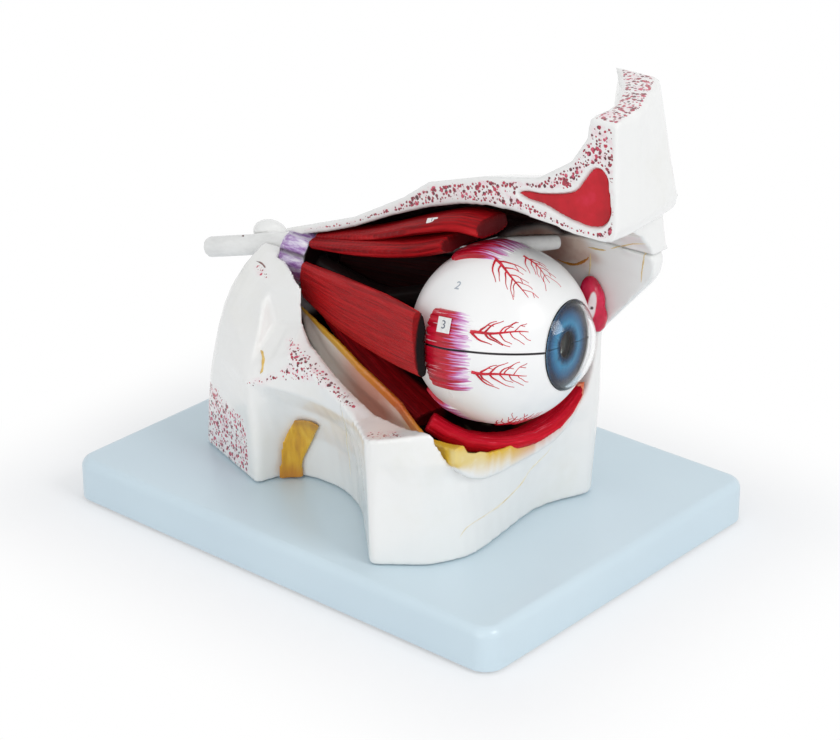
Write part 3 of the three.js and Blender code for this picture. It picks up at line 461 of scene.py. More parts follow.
def eased(piece, values, rounds):
    """Blurs a mark over the skin, so its edge is soft."""
    edges = np.empty(len(piece.data.edges) * 2, int)
    piece.data.edges.foreach_get("vertices", edges)
    first, second = edges.reshape(-1, 2).T
    count = np.bincount(edges, minlength=len(values)) + 1
    for _ in range(rounds):
        total = values.copy()
        np.add.at(total, first, values[second])
        np.add.at(total, second, values[first])
        values = total / count
    return values


def dotted(place, facing):
    """How thickly the marrow is dotted on, 0 to 1, on the faces that were dabbed by hand."""
    across, down = picture_place(place)
    seen = (facing @ np.array(back) > 0.1) & (place[:, 1] < -20)
    amount = np.zeros(len(place))
    for outline, share in ((PLATEAU, 0.86), (CHEEK_TOP, 0.7), (REAR_FACE, 0.95), (APEX_DOTS, 0.75)):
        amount = np.maximum(amount, share * (seen & inside_outline(across, down, outline)))
    return amount


front_part, rear_part = fresh_copy("maxilla", "cheek_casting"), fresh_copy("sphenoid", "rear_part")
place, _ = corners(rear_part)
place[place[:, 0] > SPLIT_X - 0.4, 0] = SPLIT_X + 0.4
set_corners(rear_part, place)
active(front_part)
rear_part.select_set(True)
bpy.ops.object.join()
skinned(front_part, 1.1, 6)
rear_part = placed("sphenoid_casting", front_part.data.copy())
castings = [frontal]
for piece, node, side in ((front_part, "maxilla", 1), (rear_part, "sphenoid", -1)):
    start_edit(piece)
    bpy.ops.mesh.bisect(plane_co=((SPLIT_X + side * HALF_HAIR_LINE) * MM, 0, 0), plane_no=(side, 0, 0),
                        use_fill=True, clear_inner=True)
    finish_edit()
    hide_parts(node)
    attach(piece, "orbit")
    place, facing = corners(piece)
    mark(piece, "sawn", np.zeros(len(place)))
    mark(piece, "dots", eased(piece, dotted(place, facing), 2))
    castings.append(piece)
    print(piece.name, "vertices", len(place))

# %% [markdown]
# The roof and the inner wall of the orbit are painted in shadow colours behind the muscles: black
# in the depth, then a brown pink, and white again in front, where the light reaches.

# %% Shadow colours in the hollow
BROWN_SHADE_OUTLINE = [(500, 238), (520, 230), (543, 226), (560, 233), (588, 247), (604, 262), (560, 264), (500, 262)]
ROOF_TOP_Z = 176
for piece in castings:
    place, facing = corners(piece)
    x, y, z = place.T
    inward = (facing[:, 1] < -0.25) & (y > 2) | (facing[:, 2] < -0.2) & (z > 118)
    across, down = picture_place(place)
    brown_shade_area = inward & (x > 30) & (z < ROOF_TOP_Z) & inside_outline(across, down, BROWN_SHADE_OUTLINE)
    if piece is frontal:
        deep = inward & (y > SECTION_Y + 0.8) & (x > -54) & (x < 74 + 0.25 * (z - 150))
        deep &= (z < ROOF_TOP_Z) & ~brown_shade_area
        brown_shade = brown_shade_area
    else:
        floor_side = (facing[:, 2] > 0.1) & (y > -28) & (x > -52) & (x < 60) & (z < 96)
        deep = inward & (x > -52) & (x < 46) & (z > 60) & (z < 150) | floor_side
        deep &= ~brown_shade_area
        brown_shade = inward & (x > 46) & (x < 79) & (z > 135.5) | brown_shade_area
    # Both marks are painted shade: near black in the depth of the hollow, and brown pink on the inner wall.
    mark(piece, "deep", eased(piece, deep.astype(float), 6))
    mark(piece, "brown_shade", eased(piece, brown_shade.astype(float), 8))

# %% [markdown]
# Bone is cast in white and varnished. The marrow is thrown on as small uneven dots, crimson and
# maroon: cells of two sizes, bent by a noise, each cut down to a dot of its own size.

# %% Bone finish
def marrow(paint, amount):
    """A mask of uneven dots, as thick as the amount says, and a number that varies by dot."""
    bend = paint.node("ShaderNodeTexNoise", "Color", {"Vector": paint.place, "Scale": 900})
    bent_place = {0: bend, 1: (0.0009, 0.0009, 0.0009), 2: paint.place}
    shifted = paint.node("ShaderNodeVectorMath", 0, bent_place, operation="MULTIPLY_ADD")
    masks = []
    for scale, largest in ((400, 0.52), (600, 0.46)):
        distance = paint.cells(scale, shifted)
        pick, chosen, _ = paint.parts(distance.node.outputs["Color"])
        size = paint.times(paint.times(paint.plus(paint.times(pick, 0.4), 0.6), largest), amount)
        masks.append(paint.fade(paint.minus(size, distance), 0.0, 0.06))
    return paint.math("MAXIMUM", masks[0], masks[1]), chosen


bone_paint = Paint("varnished_bone", 0.22, 0.6)
depth = bone_paint.attribute("sawn")
inner = bone_paint.math("MAXIMUM", bone_paint.fade(depth, 0.8, 2.1), bone_paint.attribute("dots"))
dots, chosen = marrow(bone_paint, inner)
stain = bone_paint.fade(bone_paint.noise(26, 4, 0.6), 0.52, 0.74)
white = bone_paint.mix(bone_paint.times(stain, 0.35), rgb(241, 241, 239), rgb(232, 231, 222))
red = bone_paint.ramp(chosen, (0.0, rgb(70, 8, 28)), (0.4, rgb(138, 14, 44)), (0.7, rgb(190, 24, 62)),
                      (1.0, rgb(216, 84, 116)))
haze = bone_paint.times(inner, bone_paint.fade(bone_paint.noise(230, 3, 0.6), 0.40, 0.75))
white = bone_paint.mix(bone_paint.times(haze, 0.55), white, rgb(236, 184, 198))
speckled = bone_paint.mix(dots, white, red)
# Painted shade in the hollow: a brown pink on the inner wall and a near black in the depth.
brown_shade_tone = bone_paint.ramp(bone_paint.noise(50, 4, 0.6), (0.35, rgb(188, 142, 128)), (0.65, rgb(226, 204, 190)))
speckled = bone_paint.mix(bone_paint.attribute("brown_shade"), speckled, brown_shade_tone)
dark_shade_tone = bone_paint.ramp(bone_paint.noise(1.0, 4, 0.6, bone_paint.mapped((30, 260, 260))),
                        (0.35, rgb(30, 22, 24)), (0.62, rgb(56, 32, 32)), (0.78, rgb(104, 30, 34)))
bone_paint.colour(bone_paint.mix(bone_paint.attribute("deep"), speckled, dark_shade_tone))
bone_paint.rough(bone_paint.scaled(bone_paint.noise(60, 2), 0.14, 0.17))
lumps = bone_paint.scaled(dots, -0.6, bone_paint.noise(70, 3, 0.55))
bone_paint.relief(lumps, 0.5, 0.45)
for bone in castings:
    bone.data.materials.append(bone_paint.material)

# %% [markdown]
# ## Lathe work
# The shells of the eyeball are turned about the line of gaze, so each is drawn as half an outline
# and spun. The outline is along the gaze and out from it, in mm from the middle of the ball.

# %% Eyeball frame and the lathe
EYE = Vector((68, -15, 116.4))
EYE_TURN = (math.radians(-10), math.radians(-4.8), math.radians(7.1))
EYE_FRAME = Euler(EYE_TURN, "XYZ").to_matrix()
GAZE = EYE_FRAME @ Vector((1, 0, 0))
UP = EYE_FRAME @ Vector((0, 0, 1))
WAY_OUT = (0.949753, -0.308593, 0.052336)
DRAW = Vector(WAY_OUT)
SEAM_GAP = 0.15
BALL = 40.3
WALL = 3.4
LIMBUS = 20.4
LIMBUS_X = math.sqrt(BALL * BALL - LIMBUS * LIMBUS)
BORE = LIMBUS - 1.1


def from_eye(point):
    """A point of the eyeball's own frame, in mm, as a place in the scene, in metres."""
    return (EYE + EYE_FRAME @ Vector(point)) * MM


def arc(radius, start, end, steps, centre=0.0):
    """Points of a circle about the gaze line, angles in degrees from the gaze."""
    angles = [math.radians(start + (end - start) * i / steps) for i in range(steps + 1)]
    return [(centre + radius * math.cos(a), max(radius * math.sin(a), 0.0)) for a in angles]


def turned(name, outline, steps=128, closed=False):
    """Spins half an outline about the gaze line."""
    mesh = bpy.data.meshes.new(name)
    count = len(outline)
    edges = [(i, i + 1) for i in range(count - 1)] + ([(count - 1, 0)] if closed else [])
    mesh.from_pydata([from_eye((x, 0, r)) for x, r in outline], edges, [])
    piece = placed(name, mesh)
    start_edit(piece)
    bpy.ops.mesh.spin(steps=steps, angle=2 * math.pi, center=EYE * MM, axis=GAZE)
    bpy.ops.mesh.select_all(action="SELECT")
    bpy.ops.mesh.remove_doubles(threshold=4e-6)
    finish_edit()
    return piece


def halved(piece, name, upper):
    """One half of a turned piece, cut flat along the seam and capped from its own cut edge."""
    half = placed(name, piece.data.copy())
    start_edit(half)
    bpy.ops.mesh.bisect(plane_co=from_eye((0, 0, SEAM_GAP if upper else -SEAM_GAP)), plane_no=UP,
                        use_fill=False, clear_inner=upper, clear_outer=not upper)
    bpy.ops.mesh.edge_face_add()
    bpy.ops.mesh.select_all(action="DESELECT")
    bpy.ops.mesh.select_face_by_sides(number=4, type="GREATER", extend=False)
    bpy.ops.mesh.quads_convert_to_tris(ngon_method="BEAUTY")
    finish_edit()
    return half


def smooth_to(piece, degrees=35):
    active(piece)
    bpy.ops.object.shade_smooth_by_angle(angle=math.radians(degrees))
    return piece


def drop(*pieces):
    for piece in pieces:
        bpy.data.objects.remove(piece)


# %% [markdown]
# ## The white of the eye
# One shell is turned as a whole and cut along the seam into the two halves that lift off. The
# collar for the nerve's plug stands on the lower half alone, and above the seam it keeps clear of
# the upper half's way up. Three pegs on the lower half's rim fit drilled holes in the upper one.

# %% Turning the white
rim = math.degrees(math.asin(LIMBUS / BALL))
inner_rim = math.degrees(math.asin(BORE / (BALL - WALL)))
outline = arc(BALL, 180, rim, 84) + [(LIMBUS_X, LIMBUS - 0.35), (LIMBUS_X - 0.25, BORE)]
outline += arc(BALL - WALL, inner_rim, 180, 84)
white_shell = turned("white_shell", outline)


def rod(name, start, end, radius_start, radius_end, sides=48):
    """A cylinder or cone between two places of the scene, in metres."""
    start, end = Vector(start), Vector(end)
    axis = end - start
    deselect()
    bpy.ops.mesh.primitive_cone_add(vertices=sides, radius1=radius_start * MM, radius2=radius_end * MM,
                                    depth=axis.length, location=(start + end) / 2,
                                    rotation=axis.to_track_quat("Z", "Y").to_euler())
    made = bpy.context.object
    made.name = name
    bpy.ops.object.transform_apply(location=True, rotation=True, scale=True)
    return made


def joined_or_cut(piece, tool, operation):
    """A boolean with a second piece, which is then thrown away."""
    work(piece, "BOOLEAN", operation=operation, object=tool, solver="EXACT")
    drop(tool)
    return piece


def behind(distance):
    return (EYE - DRAW * distance) * MM


white_upper = halved(white_shell, "white_upper", True)
white_lower = halved(white_shell, "white_lower", False)
drop(white_shell)
collar = rod("collar", behind(38.2), behind(BALL + 6.5), 7.2, 7.2, 64)
joined_or_cut(collar, rod("plug_bore", behind(BALL), behind(BALL + 10), 4.6, 4.6), "DIFFERENCE")
way_up = rod("way_up", from_eye((0, 0, -SEAM_GAP)), from_eye((0, 0, 30)), BALL + 0.3, BALL + 0.3, 192)
joined_or_cut(collar, way_up, "DIFFERENCE")
joined_or_cut(white_lower, collar, "UNION")
print("white halves", len(white_upper.data.polygons), len(white_lower.data.polygons))

# %% Pegs and holes
PEG_RING = BALL - WALL / 2
for angle in (95, 205, -50):
    x, y = PEG_RING * math.cos(math.radians(angle)), PEG_RING * math.sin(math.radians(angle))
    hole = rod("peg_hole", from_eye((x, y, -1)), from_eye((x, y, 2.7)), 1.1, 1.1, 24)
    joined_or_cut(white_upper, hole, "DIFFERENCE")
    peg = rod("peg", from_eye((x, y, -2)), from_eye((x, y, 2.4)), 0.8, 0.7, 24)
    joined_or_cut(white_lower, peg, "UNION")
for half, node, body in ((white_upper, "sclera_upper", "sclera_upper_half"),
                         (white_lower, "sclera_lower", "sclera_lower_half")):
    smooth_to(half)
    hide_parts(node)
    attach(half, body)

# %% [markdown]
# The white is a hard glossy enamel, near pure white, with a trace of grey where the hand brush
# left it thin. A dark line is painted along the seam, as painted shade in the gap between the halves.

# %% White enamel
def eye_place(paint):
    """Places in the eyeball's own frame: along the gaze, to the nose side, and up."""
    return paint.mapped(location=tuple(EYE * MM), rotation=EYE_TURN, kind="TEXTURE")


def seam_line(paint, colour):
    """Darkens a colour close to the seam between the halves, as painted shade in the gap."""
    _, _, height = paint.parts(eye_place(paint))
    from_seam = paint.math("ABSOLUTE", height)
    return paint.mix(paint.fade(from_seam, 0.62 * MM, 0.36 * MM), colour, rgb(34, 24, 30))


enamel = Paint("white_enamel", 0.25, 0.12, 0.4)
cloud = enamel.fade(enamel.noise(34, 4, 0.6), 0.45, 0.8)
thin_coat = enamel.mix(enamel.times(cloud, 0.5), rgb(244, 244, 243), rgb(232, 233, 235))
enamel.colour(seam_line(enamel, thin_coat))
enamel.rough(enamel.scaled(enamel.noise(90, 2), 0.12, 0.24))
enamel.relief(enamel.noise(55, 3), 0.25, 0.35)
for half in (white_upper, white_lower):
    half.data.materials.append(enamel.material)

# %% [markdown]
# ## Muscles
# Each muscle is a flat strap that swells and thins along a bent line. Its skin is rebuilt finely,
# then every vertex learns where it lies along, across and through the strap. Grooves are pressed
# in between the bundles, never outwards, and the paint streaks follow the same three numbers.

# %% Where each vertex lies in its strap
MUSCLES = {
    "lateral_rectus": (((-52, -17, 111.5), (-15, -30, 112.8), (26.5, -45, 117.3), (58.5, -59, 123)),
                       (9, 14.2, 16.4, 15.2), (-0.1, 0, 1), 0.75),
    "medial_rectus": (((-52, 7, 112), (-15, 15, 113), (20, 22.5, 114), (46, 28.5, 116)),
                      (8, 12, 14, 13.5), (0, 0, 1), 0.9),
    "superior_rectus": (((-52, -7, 126.5), (-10, -12, 137), (25, -15, 147.5), (46, -16, 155.5)),
                        (7, 12, 14, 13.5), (0, 1, 0), 0.75),
    "levator_palpebrae": (((-52, -4, 130.6), (-10, -9, 143.6), (25, -12, 158), (46, -12, 165),
                           (60, -12, 165.5)), (6, 10, 12.5, 12, 10.5), (0, 1, 0), 0.75),
    "inferior_rectus": (((-52, -7.5, 105.5), (-20, -14, 90), (8, -17, 77.5), (36, -21, 68)),
                        (6, 11, 13, 13.5), (0, 1, 0), 0.8),
    "inferior_oblique": (((54, -47, 81), (66, -40, 73.5), (76, -25, 69), (80, -5, 67.5),
                          (82, 12, 72), (83, 27, 82)), (8, 8, 8, 8, 8, 8), None, 0.7),
}


def bent_line(points, count=90):
    """A smooth run of points through the given ones, its length so far and its directions."""
    points = np.array(points, float)
    steps = np.linspace(0, len(points) - 1, count)
    padded = np.vstack([2 * points[0] - points[1], points, 2 * points[-1] - points[-2]])
    i = np.minimum(steps.astype(int), len(points) - 2)
    t = (steps - i)[:, None]
    a, b, c, d = padded[i], padded[i + 1], padded[i + 2], padded[i + 3]
    line = 0.5 * (2 * b + (c - a) * t + (2 * a - 5 * b + 4 * c - d) * t ** 2
                  + (3 * b - a - 3 * c + d) * t ** 3)
    length = np.concatenate([[0], np.cumsum(np.linalg.norm(np.diff(line, axis=0), axis=1))])
    heading = np.gradient(line, axis=0)
    return line, length, heading / np.linalg.norm(heading, axis=1)[:, None], steps


def strap_place(place, points, widths, across):
    """Mm along, share across and mm through a strap, for each vertex."""
    line, length, heading, steps = bent_line(points)
    closest = np.argmin(((place[:, None, :] - line[None]) ** 2).sum(2), axis=1)
    offset = place - line[closest]
    ahead = heading[closest]
    if across is None:
        across = np.cross(np.array(EYE) - line[closest], ahead)
    side = across - (np.asarray(across) * ahead).sum(1)[:, None] * ahead
    side /= np.linalg.norm(side, axis=1)[:, None]
    width = np.interp(steps[closest], range(len(widths)), widths)
    along = length[closest] + (offset * ahead).sum(1)
    through = (offset * np.cross(ahead, side)).sum(1)
    return along, (offset * side).sum(1) / width, through, ahead, length[-1]


def strands(across, along, through, seed, pitch):
    """A lengthwise ripple, 0 to 1, that wanders as real bundles do."""
    dice = np.random.default_rng(seed)
    total = np.zeros(len(across))
    for share in (1.0, 1.7, 2.9):
        wander = dice.uniform(0.4, 1.1) * np.sin(along * dice.uniform(0.02, 0.05) + dice.uniform(0, 6))
        total += np.sin(across * pitch * share + through * 0.7 + wander + dice.uniform(0, 6)) / share
    return 0.5 + 0.5 * total / np.abs(total).max()


# %% Casting the muscles
SWELL = {"inferior_oblique": ((0.5, -0.55, -0.67), 1.5, 0.2), "levator_palpebrae": ((0, 0, -1), 1.3, 1.0),
         "superior_rectus": ((0, 0, 1), 1.3, 1.0)}
straps = {}
for seed, (node, (points, widths, across, grain)) in enumerate(MUSCLES.items()):
    strap = reskin(node, node + "_strap", grain, 5)
    place, facing = corners(strap)
    along, share, through, ahead, length = strap_place(place, points, widths, across)
    ripple = strands(share, along, through, seed, 30)
    flat = 1 - soft_step(np.abs((facing * ahead).sum(1)), 0.5, 0.8)
    moved = -0.42 * (1 - ripple) * flat
    if node in SWELL:
        toward, amount, ends_at = SWELL[node]
        rear_part = 1 - soft_step(along / length, ends_at, ends_at + 0.25)
        moved += amount * soft_step(facing @ np.array(toward), 0.0, 0.6) * flat * rear_part
    set_corners(strap, place + facing * moved[:, None])
    mark_vector(strap, "fibre", np.stack([along, share, through], 1))
    mark(strap, "groove", 1 - ripple)
    from_ball = np.linalg.norm(place - np.array(EYE), axis=1) - BALL
    end_face = soft_step((facing * ahead).sum(1), 0.35, 0.7) * soft_step(along, length - 9, length - 6)
    mark(strap, "end_face", end_face)
    # Near the ball the end face is painted near black, as painted shade in the gap where the strap meets the
    # ball.
    near, far = np.percentile(from_ball[end_face > 0.5], (66, 84))
    mark(strap, "gap_shade", end_face * (1 - soft_step(from_ball, near, far)))
    under_shade = soft_step(place[:, 1], -20, -14) if node == "inferior_rectus" else np.zeros(len(place))
    mark(strap, "shade", under_shade)
    straps[node] = strap
    print(node, "vertices", len(place), "length", round(length, 1))

# %% [markdown]
# The red is brushed on lengthwise in several tones. Five versions share one recipe, and they are
# lit and shaded copies of one muscle red: the bright outer strap, the upper ones darkened as painted
# shade under the roof, the lower one brightened as painted light, the crimson one in front whose
# palest streaks are painted highlights, and the one on the nose side, painted nearly black as shade.

# %% Muscle finish
def muscle_paint(name, tones, shadow, gap_shade_tone, fine=15.0):
    paint = Paint(name, 0.5, 0.0, 0.12)
    fibre = paint.parts(paint.attribute("fibre", "Vector"))
    streak = paint.noise(1.0, 5, 0.62, paint.stretched(fibre, (0.028, fine, 0.55)))
    thread = paint.noise(1.0, 3, 0.6, paint.stretched(fibre, (0.07, fine * 3.2, 1.4)))
    tone = paint.scaled(streak, 0.75, paint.times(thread, 0.3))
    red = paint.ramp(tone, (0.32, tones[0]), (0.50, tones[1]), (0.62, tones[2]), (0.80, tones[3]))
    groove = paint.fade(paint.attribute("groove"), 0.62, 0.98)
    # Painted shade: the grooves, the end face, the end near the ball and the inner part of the lower strap
    # are darkened.
    red = paint.mix(paint.times(groove, shadow), red, rgb(58, 8, 12))
    red = paint.mix(paint.times(paint.attribute("end_face"), 0.7), red, tones[0])
    red = paint.mix(paint.attribute("gap_shade"), red, gap_shade_tone)
    red = paint.mix(paint.attribute("shade"), red, rgb(16, 6, 7))
    paint.colour(red)
    paint.rough(paint.scaled(thread, 0.25, 0.34))
    paint.relief(paint.plus(thread, paint.times(streak, 0.6)), 0.45, 0.6)
    return paint.material


# Painted light and shade: the upper tones are darker for shade, the lower ones brighter for light, the front
# one's palest streaks are highlights, and the nose side ones are near black.
bright = (rgb(112, 6, 12), rgb(168, 16, 22), rgb(188, 26, 30), rgb(206, 64, 60))
deeper = (rgb(60, 4, 8), rgb(148, 10, 18), rgb(180, 18, 26), rgb(200, 56, 56))
brightened_tones = (rgb(104, 6, 14), rgb(178, 14, 26), rgb(204, 26, 38), rgb(220, 84, 84))
darkest = (rgb(32, 20, 20), rgb(46, 22, 22), rgb(66, 20, 22), rgb(98, 24, 28))
sheen_streak_tones = (rgb(150, 4, 20), rgb(196, 10, 34), rgb(210, 20, 48), rgb(240, 160, 172))
outer_red = muscle_paint("outer_muscle_red", bright, 0.45, rgb(14, 8, 9))
upper_red = muscle_paint("upper_muscle_red", deeper, 0.8, rgb(92, 10, 16), 12.0)
lower_red = muscle_paint("lower_muscle_red", brightened_tones, 0.5, rgb(120, 12, 20), 9.0)
shadow_red = muscle_paint("shadow_muscle_red", darkest, 0.9, rgb(20, 8, 9))
sheen_streaked_red = muscle_paint("sheen_streaked_muscle_red", sheen_streak_tones, 0.35, rgb(120, 14, 28), 7.0)
for node, finish in (("lateral_rectus", outer_red), ("superior_rectus", upper_red),
                     ("levator_palpebrae", upper_red), ("medial_rectus", shadow_red),
                     ("inferior_rectus", lower_red), ("inferior_oblique", sheen_streaked_red)):
    straps[node].data.materials.append(finish)

# %% [markdown]
# ## Ring of tendons
# All the straps start from one ring of tendon round the nerve. It is cast in one with a groove
# between its upper and lower block, and painted lilac and white with purple brush strokes that
# run the same way as the muscles.

# %% Tendon ring
ring = reskin("tendinous_ring", "tendon_ring_casting", 0.7, 4)
place, facing = corners(ring)
turn_about = np.degrees(np.arctan2(place[:, 2] - 117.5, -(place[:, 1] + 6)))
ripple = strands(turn_about / 60, place[:, 0] * 3, np.zeros(len(place)), 31, 12)
flat = 1 - soft_step(np.abs(facing[:, 0]), 0.5, 0.8)
between = np.exp(-((turn_about - 22) / 5.5) ** 2) * (place[:, 1] < -6)
sink = 0.5 * (1 - ripple) * flat + 1.5 * between * flat
set_corners(ring, place - facing * sink[:, None])
mark(ring, "groove", np.clip(1 - ripple, 0, 1))
mark(ring, "between", between)
mark(ring, "turn", turn_about)
mark(ring, "outer_side", soft_step(-place[:, 1], 4, 9))
mark(ring, "front_face", soft_step(facing[:, 0], 0.45, 0.75))
tendon = Paint("tendon_lilac", 0.3, 0.25)
strokes = tendon.noise(1.0, 4, 0.6, tendon.stretched(tendon.parts(tendon.place), (90.0, 420.0, 420.0)))
lilac = tendon.ramp(strokes, (0.30, rgb(120, 62, 140)), (0.44, rgb(168, 130, 190)),
                    (0.56, rgb(216, 204, 228)), (0.72, rgb(244, 242, 246)))
low_end = tendon.fade(tendon.attribute("turn"), -8.0, -40.0)
crimson = tendon.times(low_end, tendon.fade(strokes, 0.60, 0.42))
lilac = tendon.mix(tendon.times(crimson, 0.8), lilac, rgb(176, 30, 84))
# The groove between the blocks is darkened as painted shade.
lilac = tendon.mix(tendon.times(tendon.attribute("between"), 0.85), lilac, rgb(52, 26, 44))
lilac = tendon.mix(tendon.attribute("outer_side"), rgb(236, 235, 233), lilac)
# The front face, turned into the hollow of the orbit, is painted near black as shade.
tendon.colour(tendon.mix(tendon.attribute("front_face"), lilac, rgb(26, 10, 14)))
tendon.relief(strokes, 0.5, 0.6)
ring.data.materials.append(tendon.material)

# %% [markdown]
# ## Fat and its rim
# The bag of fat is a thin bowl under the muscles. On the real casting its outside flows out to the
# bone, so each vertex below the rim is moved outwards until it meets the bone. Its front lip is
# raised to the red muscle and kept clear of the eyeball's way out. The rim is mustard behind,
# orange in the middle and yellow in front, and the side is a varnished grey pink.

# %% Fat casting
FAT_RIM = ((-70, 101), (-48, 100), (-26, 98), (-3, 96), (33, 88), (56, 81), (70, 80), (90, 84))
BONE_FRONT_X = 77.0
LONGEST_FLOW = 6.0
LIP_LIFT = 5.5
LIP_START_X, LIP_FULL_X = 60, 68
CLEAR_OF_WAY = 2.6
fat = reskin("orbital_fat", "fat_casting", 0.85, 5)
place, facing = corners(fat)
rim_line = bent_line([(x, 0, z) for x, z in FAT_RIM], 200)[0]
below_rim = np.interp(place[:, 0], rim_line[:, 0], rim_line[:, 2]) - place[:, 2]
to_middle = np.stack([np.zeros(len(place)), -15 - place[:, 1], 112 - place[:, 2]], 1)
to_middle /= np.linalg.norm(to_middle, axis=1)[:, None]
turned_out = -(facing * to_middle).sum(1)
bone_trees = [BVHTree.FromObject(piece, bpy.context.evaluated_depsgraph_get()) for piece in castings[1:]]


def flow_to_bone(point, outward):
    """How far a point of the fat can move outwards before it lies on the bone, in mm."""
    start = Vector((min(point[0], BONE_FRONT_X), point[1], point[2])) * MM
    hits = [tree.ray_cast(start, Vector(outward), LONGEST_FLOW * MM) for tree in bone_trees]
    reached = [hit[3] / MM for hit in hits if hit[0] is not None]
    return min(reached) + 0.3 if reached else 0.0


flow = np.zeros(len(place))
for i in np.flatnonzero((turned_out > -0.1) & (below_rim > 0.5)):
    flow[i] = flow_to_bone(place[i], -to_middle[i])
flow = eased(fat, flow * soft_step(turned_out, -0.1, 0.3) * soft_step(below_rim, 1.5, 6.0), 6)
place = place - to_middle * flow[:, None]
lip = place[:, 0] > 66
slots = np.clip(((place[:, 1] + 60) / 2).astype(int), 0, 59)
crest = np.full(60, -1e3)
np.maximum.at(crest, slots[lip], place[lip, 2])
known = np.flatnonzero(crest > 0)
crest = np.interp(np.arange(60), known, crest[known])
for _ in range(4):
    crest = np.convolve(np.pad(crest, 1, "edge"), (0.25, 0.5, 0.25), "valid")
under_crest = np.interp(place[:, 1], np.arange(60) * 2 - 59, crest) - place[:, 2]
across, down = picture_place(place)
lift = LIP_LIFT * soft_step(place[:, 0], LIP_START_X, LIP_FULL_X) * (1 - soft_step(under_crest, 0.5, 8.0))
lift *= soft_step(across, 462, 482) * (1 - soft_step(place[:, 1], 6, 14))
place[:, 2] += lift
out_of_eye = place - np.array(EYE)
from_path = out_of_eye - (out_of_eye @ np.array(WAY_OUT))[:, None] * np.array(WAY_OUT)
reach = np.linalg.norm(from_path, axis=1)
too_near = np.where(lift > 0.05, np.clip(BALL + CLEAR_OF_WAY - reach, 0, None), 0.0)
place = place + from_path / reach[:, None] * too_near[:, None]
set_corners(fat, place)
mark(fat, "below_rim", below_rim)
mark(fat, "inside", soft_step(-turned_out, 0.1, 0.5))
mark(fat, "forward", place[:, 0])
mark(fat, "nose_side", soft_step(place[:, 1], -34, 8))
across, down = picture_place(place)
# A cream patch on the front lip is a painted highlight.
LIP_HIGHLIGHT_OUTLINE = [(449, 450), (486, 452), (487, 468), (468, 470), (452, 464)]
mark(fat, "lip_highlight", eased(fat, inside_outline(across, down, LIP_HIGHLIGHT_OUTLINE).astype(float), 3))
LIP_EDGE = [(424, 446), (430, 451), (437, 460), (447, 466), (460, 468.5), (472, 467.5), (485, 465.5),
            (497, 462.5), (510, 459), (522, 454), (534, 447), (547, 437), (562, 425), (574, 411),
            (586, 392), (620, 392), (620, 500), (424, 500)]
past_lip = inside_outline(across, down, LIP_EDGE) & (place[:, 0] > 55)
mark(fat, "bone_white", eased(fat, past_lip.astype(float), 2))
print("fat moved out by up to", round(float(flow.max()), 1), "mm")

# %% Fat paint
fat_paint = Paint("fat_yellow", 0.32, 0.35, 0.4)
brushed = fat_paint.noise(1.0, 4, 0.6, fat_paint.mapped((60, 160, 260)))
forward = fat_paint.plus(fat_paint.attribute("forward"), fat_paint.scaled(brushed, 16.0, -8.0))
along_rim = fat_paint.fade(forward, -55.0, 95.0, "LINEAR")
rim_tone = fat_paint.ramp(along_rim, (0.0, rgb(206, 170, 46)), (0.30, rgb(212, 160, 38)),
                          (0.48, rgb(212, 128, 34)), (0.64, rgb(206, 98, 34)),
                          (0.76, rgb(206, 140, 38)), (0.86, rgb(222, 182, 50)))
front_tone = fat_paint.mix(fat_paint.attribute("nose_side"), rgb(222, 182, 50), rgb(212, 92, 34))
rim_tone = fat_paint.mix(fat_paint.fade(forward, 62.0, 72.0), rim_tone, front_tone)
side_tone = fat_paint.ramp(along_rim, (0.0, rgb(246, 245, 240)), (0.26, rgb(240, 234, 226)),
                           (0.40, rgb(218, 168, 150)), (0.52, rgb(214, 156, 138)),
                           (0.62, rgb(236, 212, 200)), (0.74, rgb(232, 192, 104)), (0.84, rgb(222, 182, 50)))
side_tone = fat_paint.mix(fat_paint.fade(forward, 66.0, 76.0), side_tone, front_tone)
below = fat_paint.scaled(brushed, 1.6, fat_paint.attribute("below_rim"))
rim_width = fat_paint.scaled(along_rim, 7.0, 1.8)
past_rim = fat_paint.fade(fat_paint.minus(below, rim_width), -0.6, 0.8)
skin_tone = fat_paint.mix(past_rim, rim_tone, side_tone)
# The inside of the bowl is painted dark red below the rim, then near black deeper down, as painted shade in
# the hollow.
inner_tone = fat_paint.mix(fat_paint.fade(below, 2.0, 4.5), rim_tone, rgb(96, 10, 16))
inner_tone = fat_paint.mix(fat_paint.fade(below, 8.0, 14.0), inner_tone, rgb(26, 8, 10))
inner_tone = fat_paint.mix(fat_paint.fade(forward, 58.0, 70.0), inner_tone, front_tone)
skin_tone = fat_paint.mix(fat_paint.attribute("inside"), skin_tone, inner_tone)
# Painted highlight: the cream patch on the lip.
skin_tone = fat_paint.mix(fat_paint.attribute("lip_highlight"), skin_tone, rgb(230, 206, 128))
streaky = fat_paint.mix(fat_paint.times(fat_paint.fade(brushed, 0.55, 0.8), 0.3),
                        skin_tone, rgb(246, 236, 206))
fat_paint.colour(fat_paint.mix(fat_paint.attribute("bone_white"), streaky, rgb(240, 240, 238)))
fat_paint.relief(fat_paint.plus(brushed, fat_paint.noise(140, 3)), 0.5, 0.5)
fat.data.materials.append(fat_paint.material)

# %% [markdown]
# ## Nerves, sinus and the inner corner
# The nerve is a white cord. Inside the hollow it is painted with the shadow colour. The band on
# the notch is ochre, the sinus a deep glossy red, and the fleshy corner crimson with a white fold.

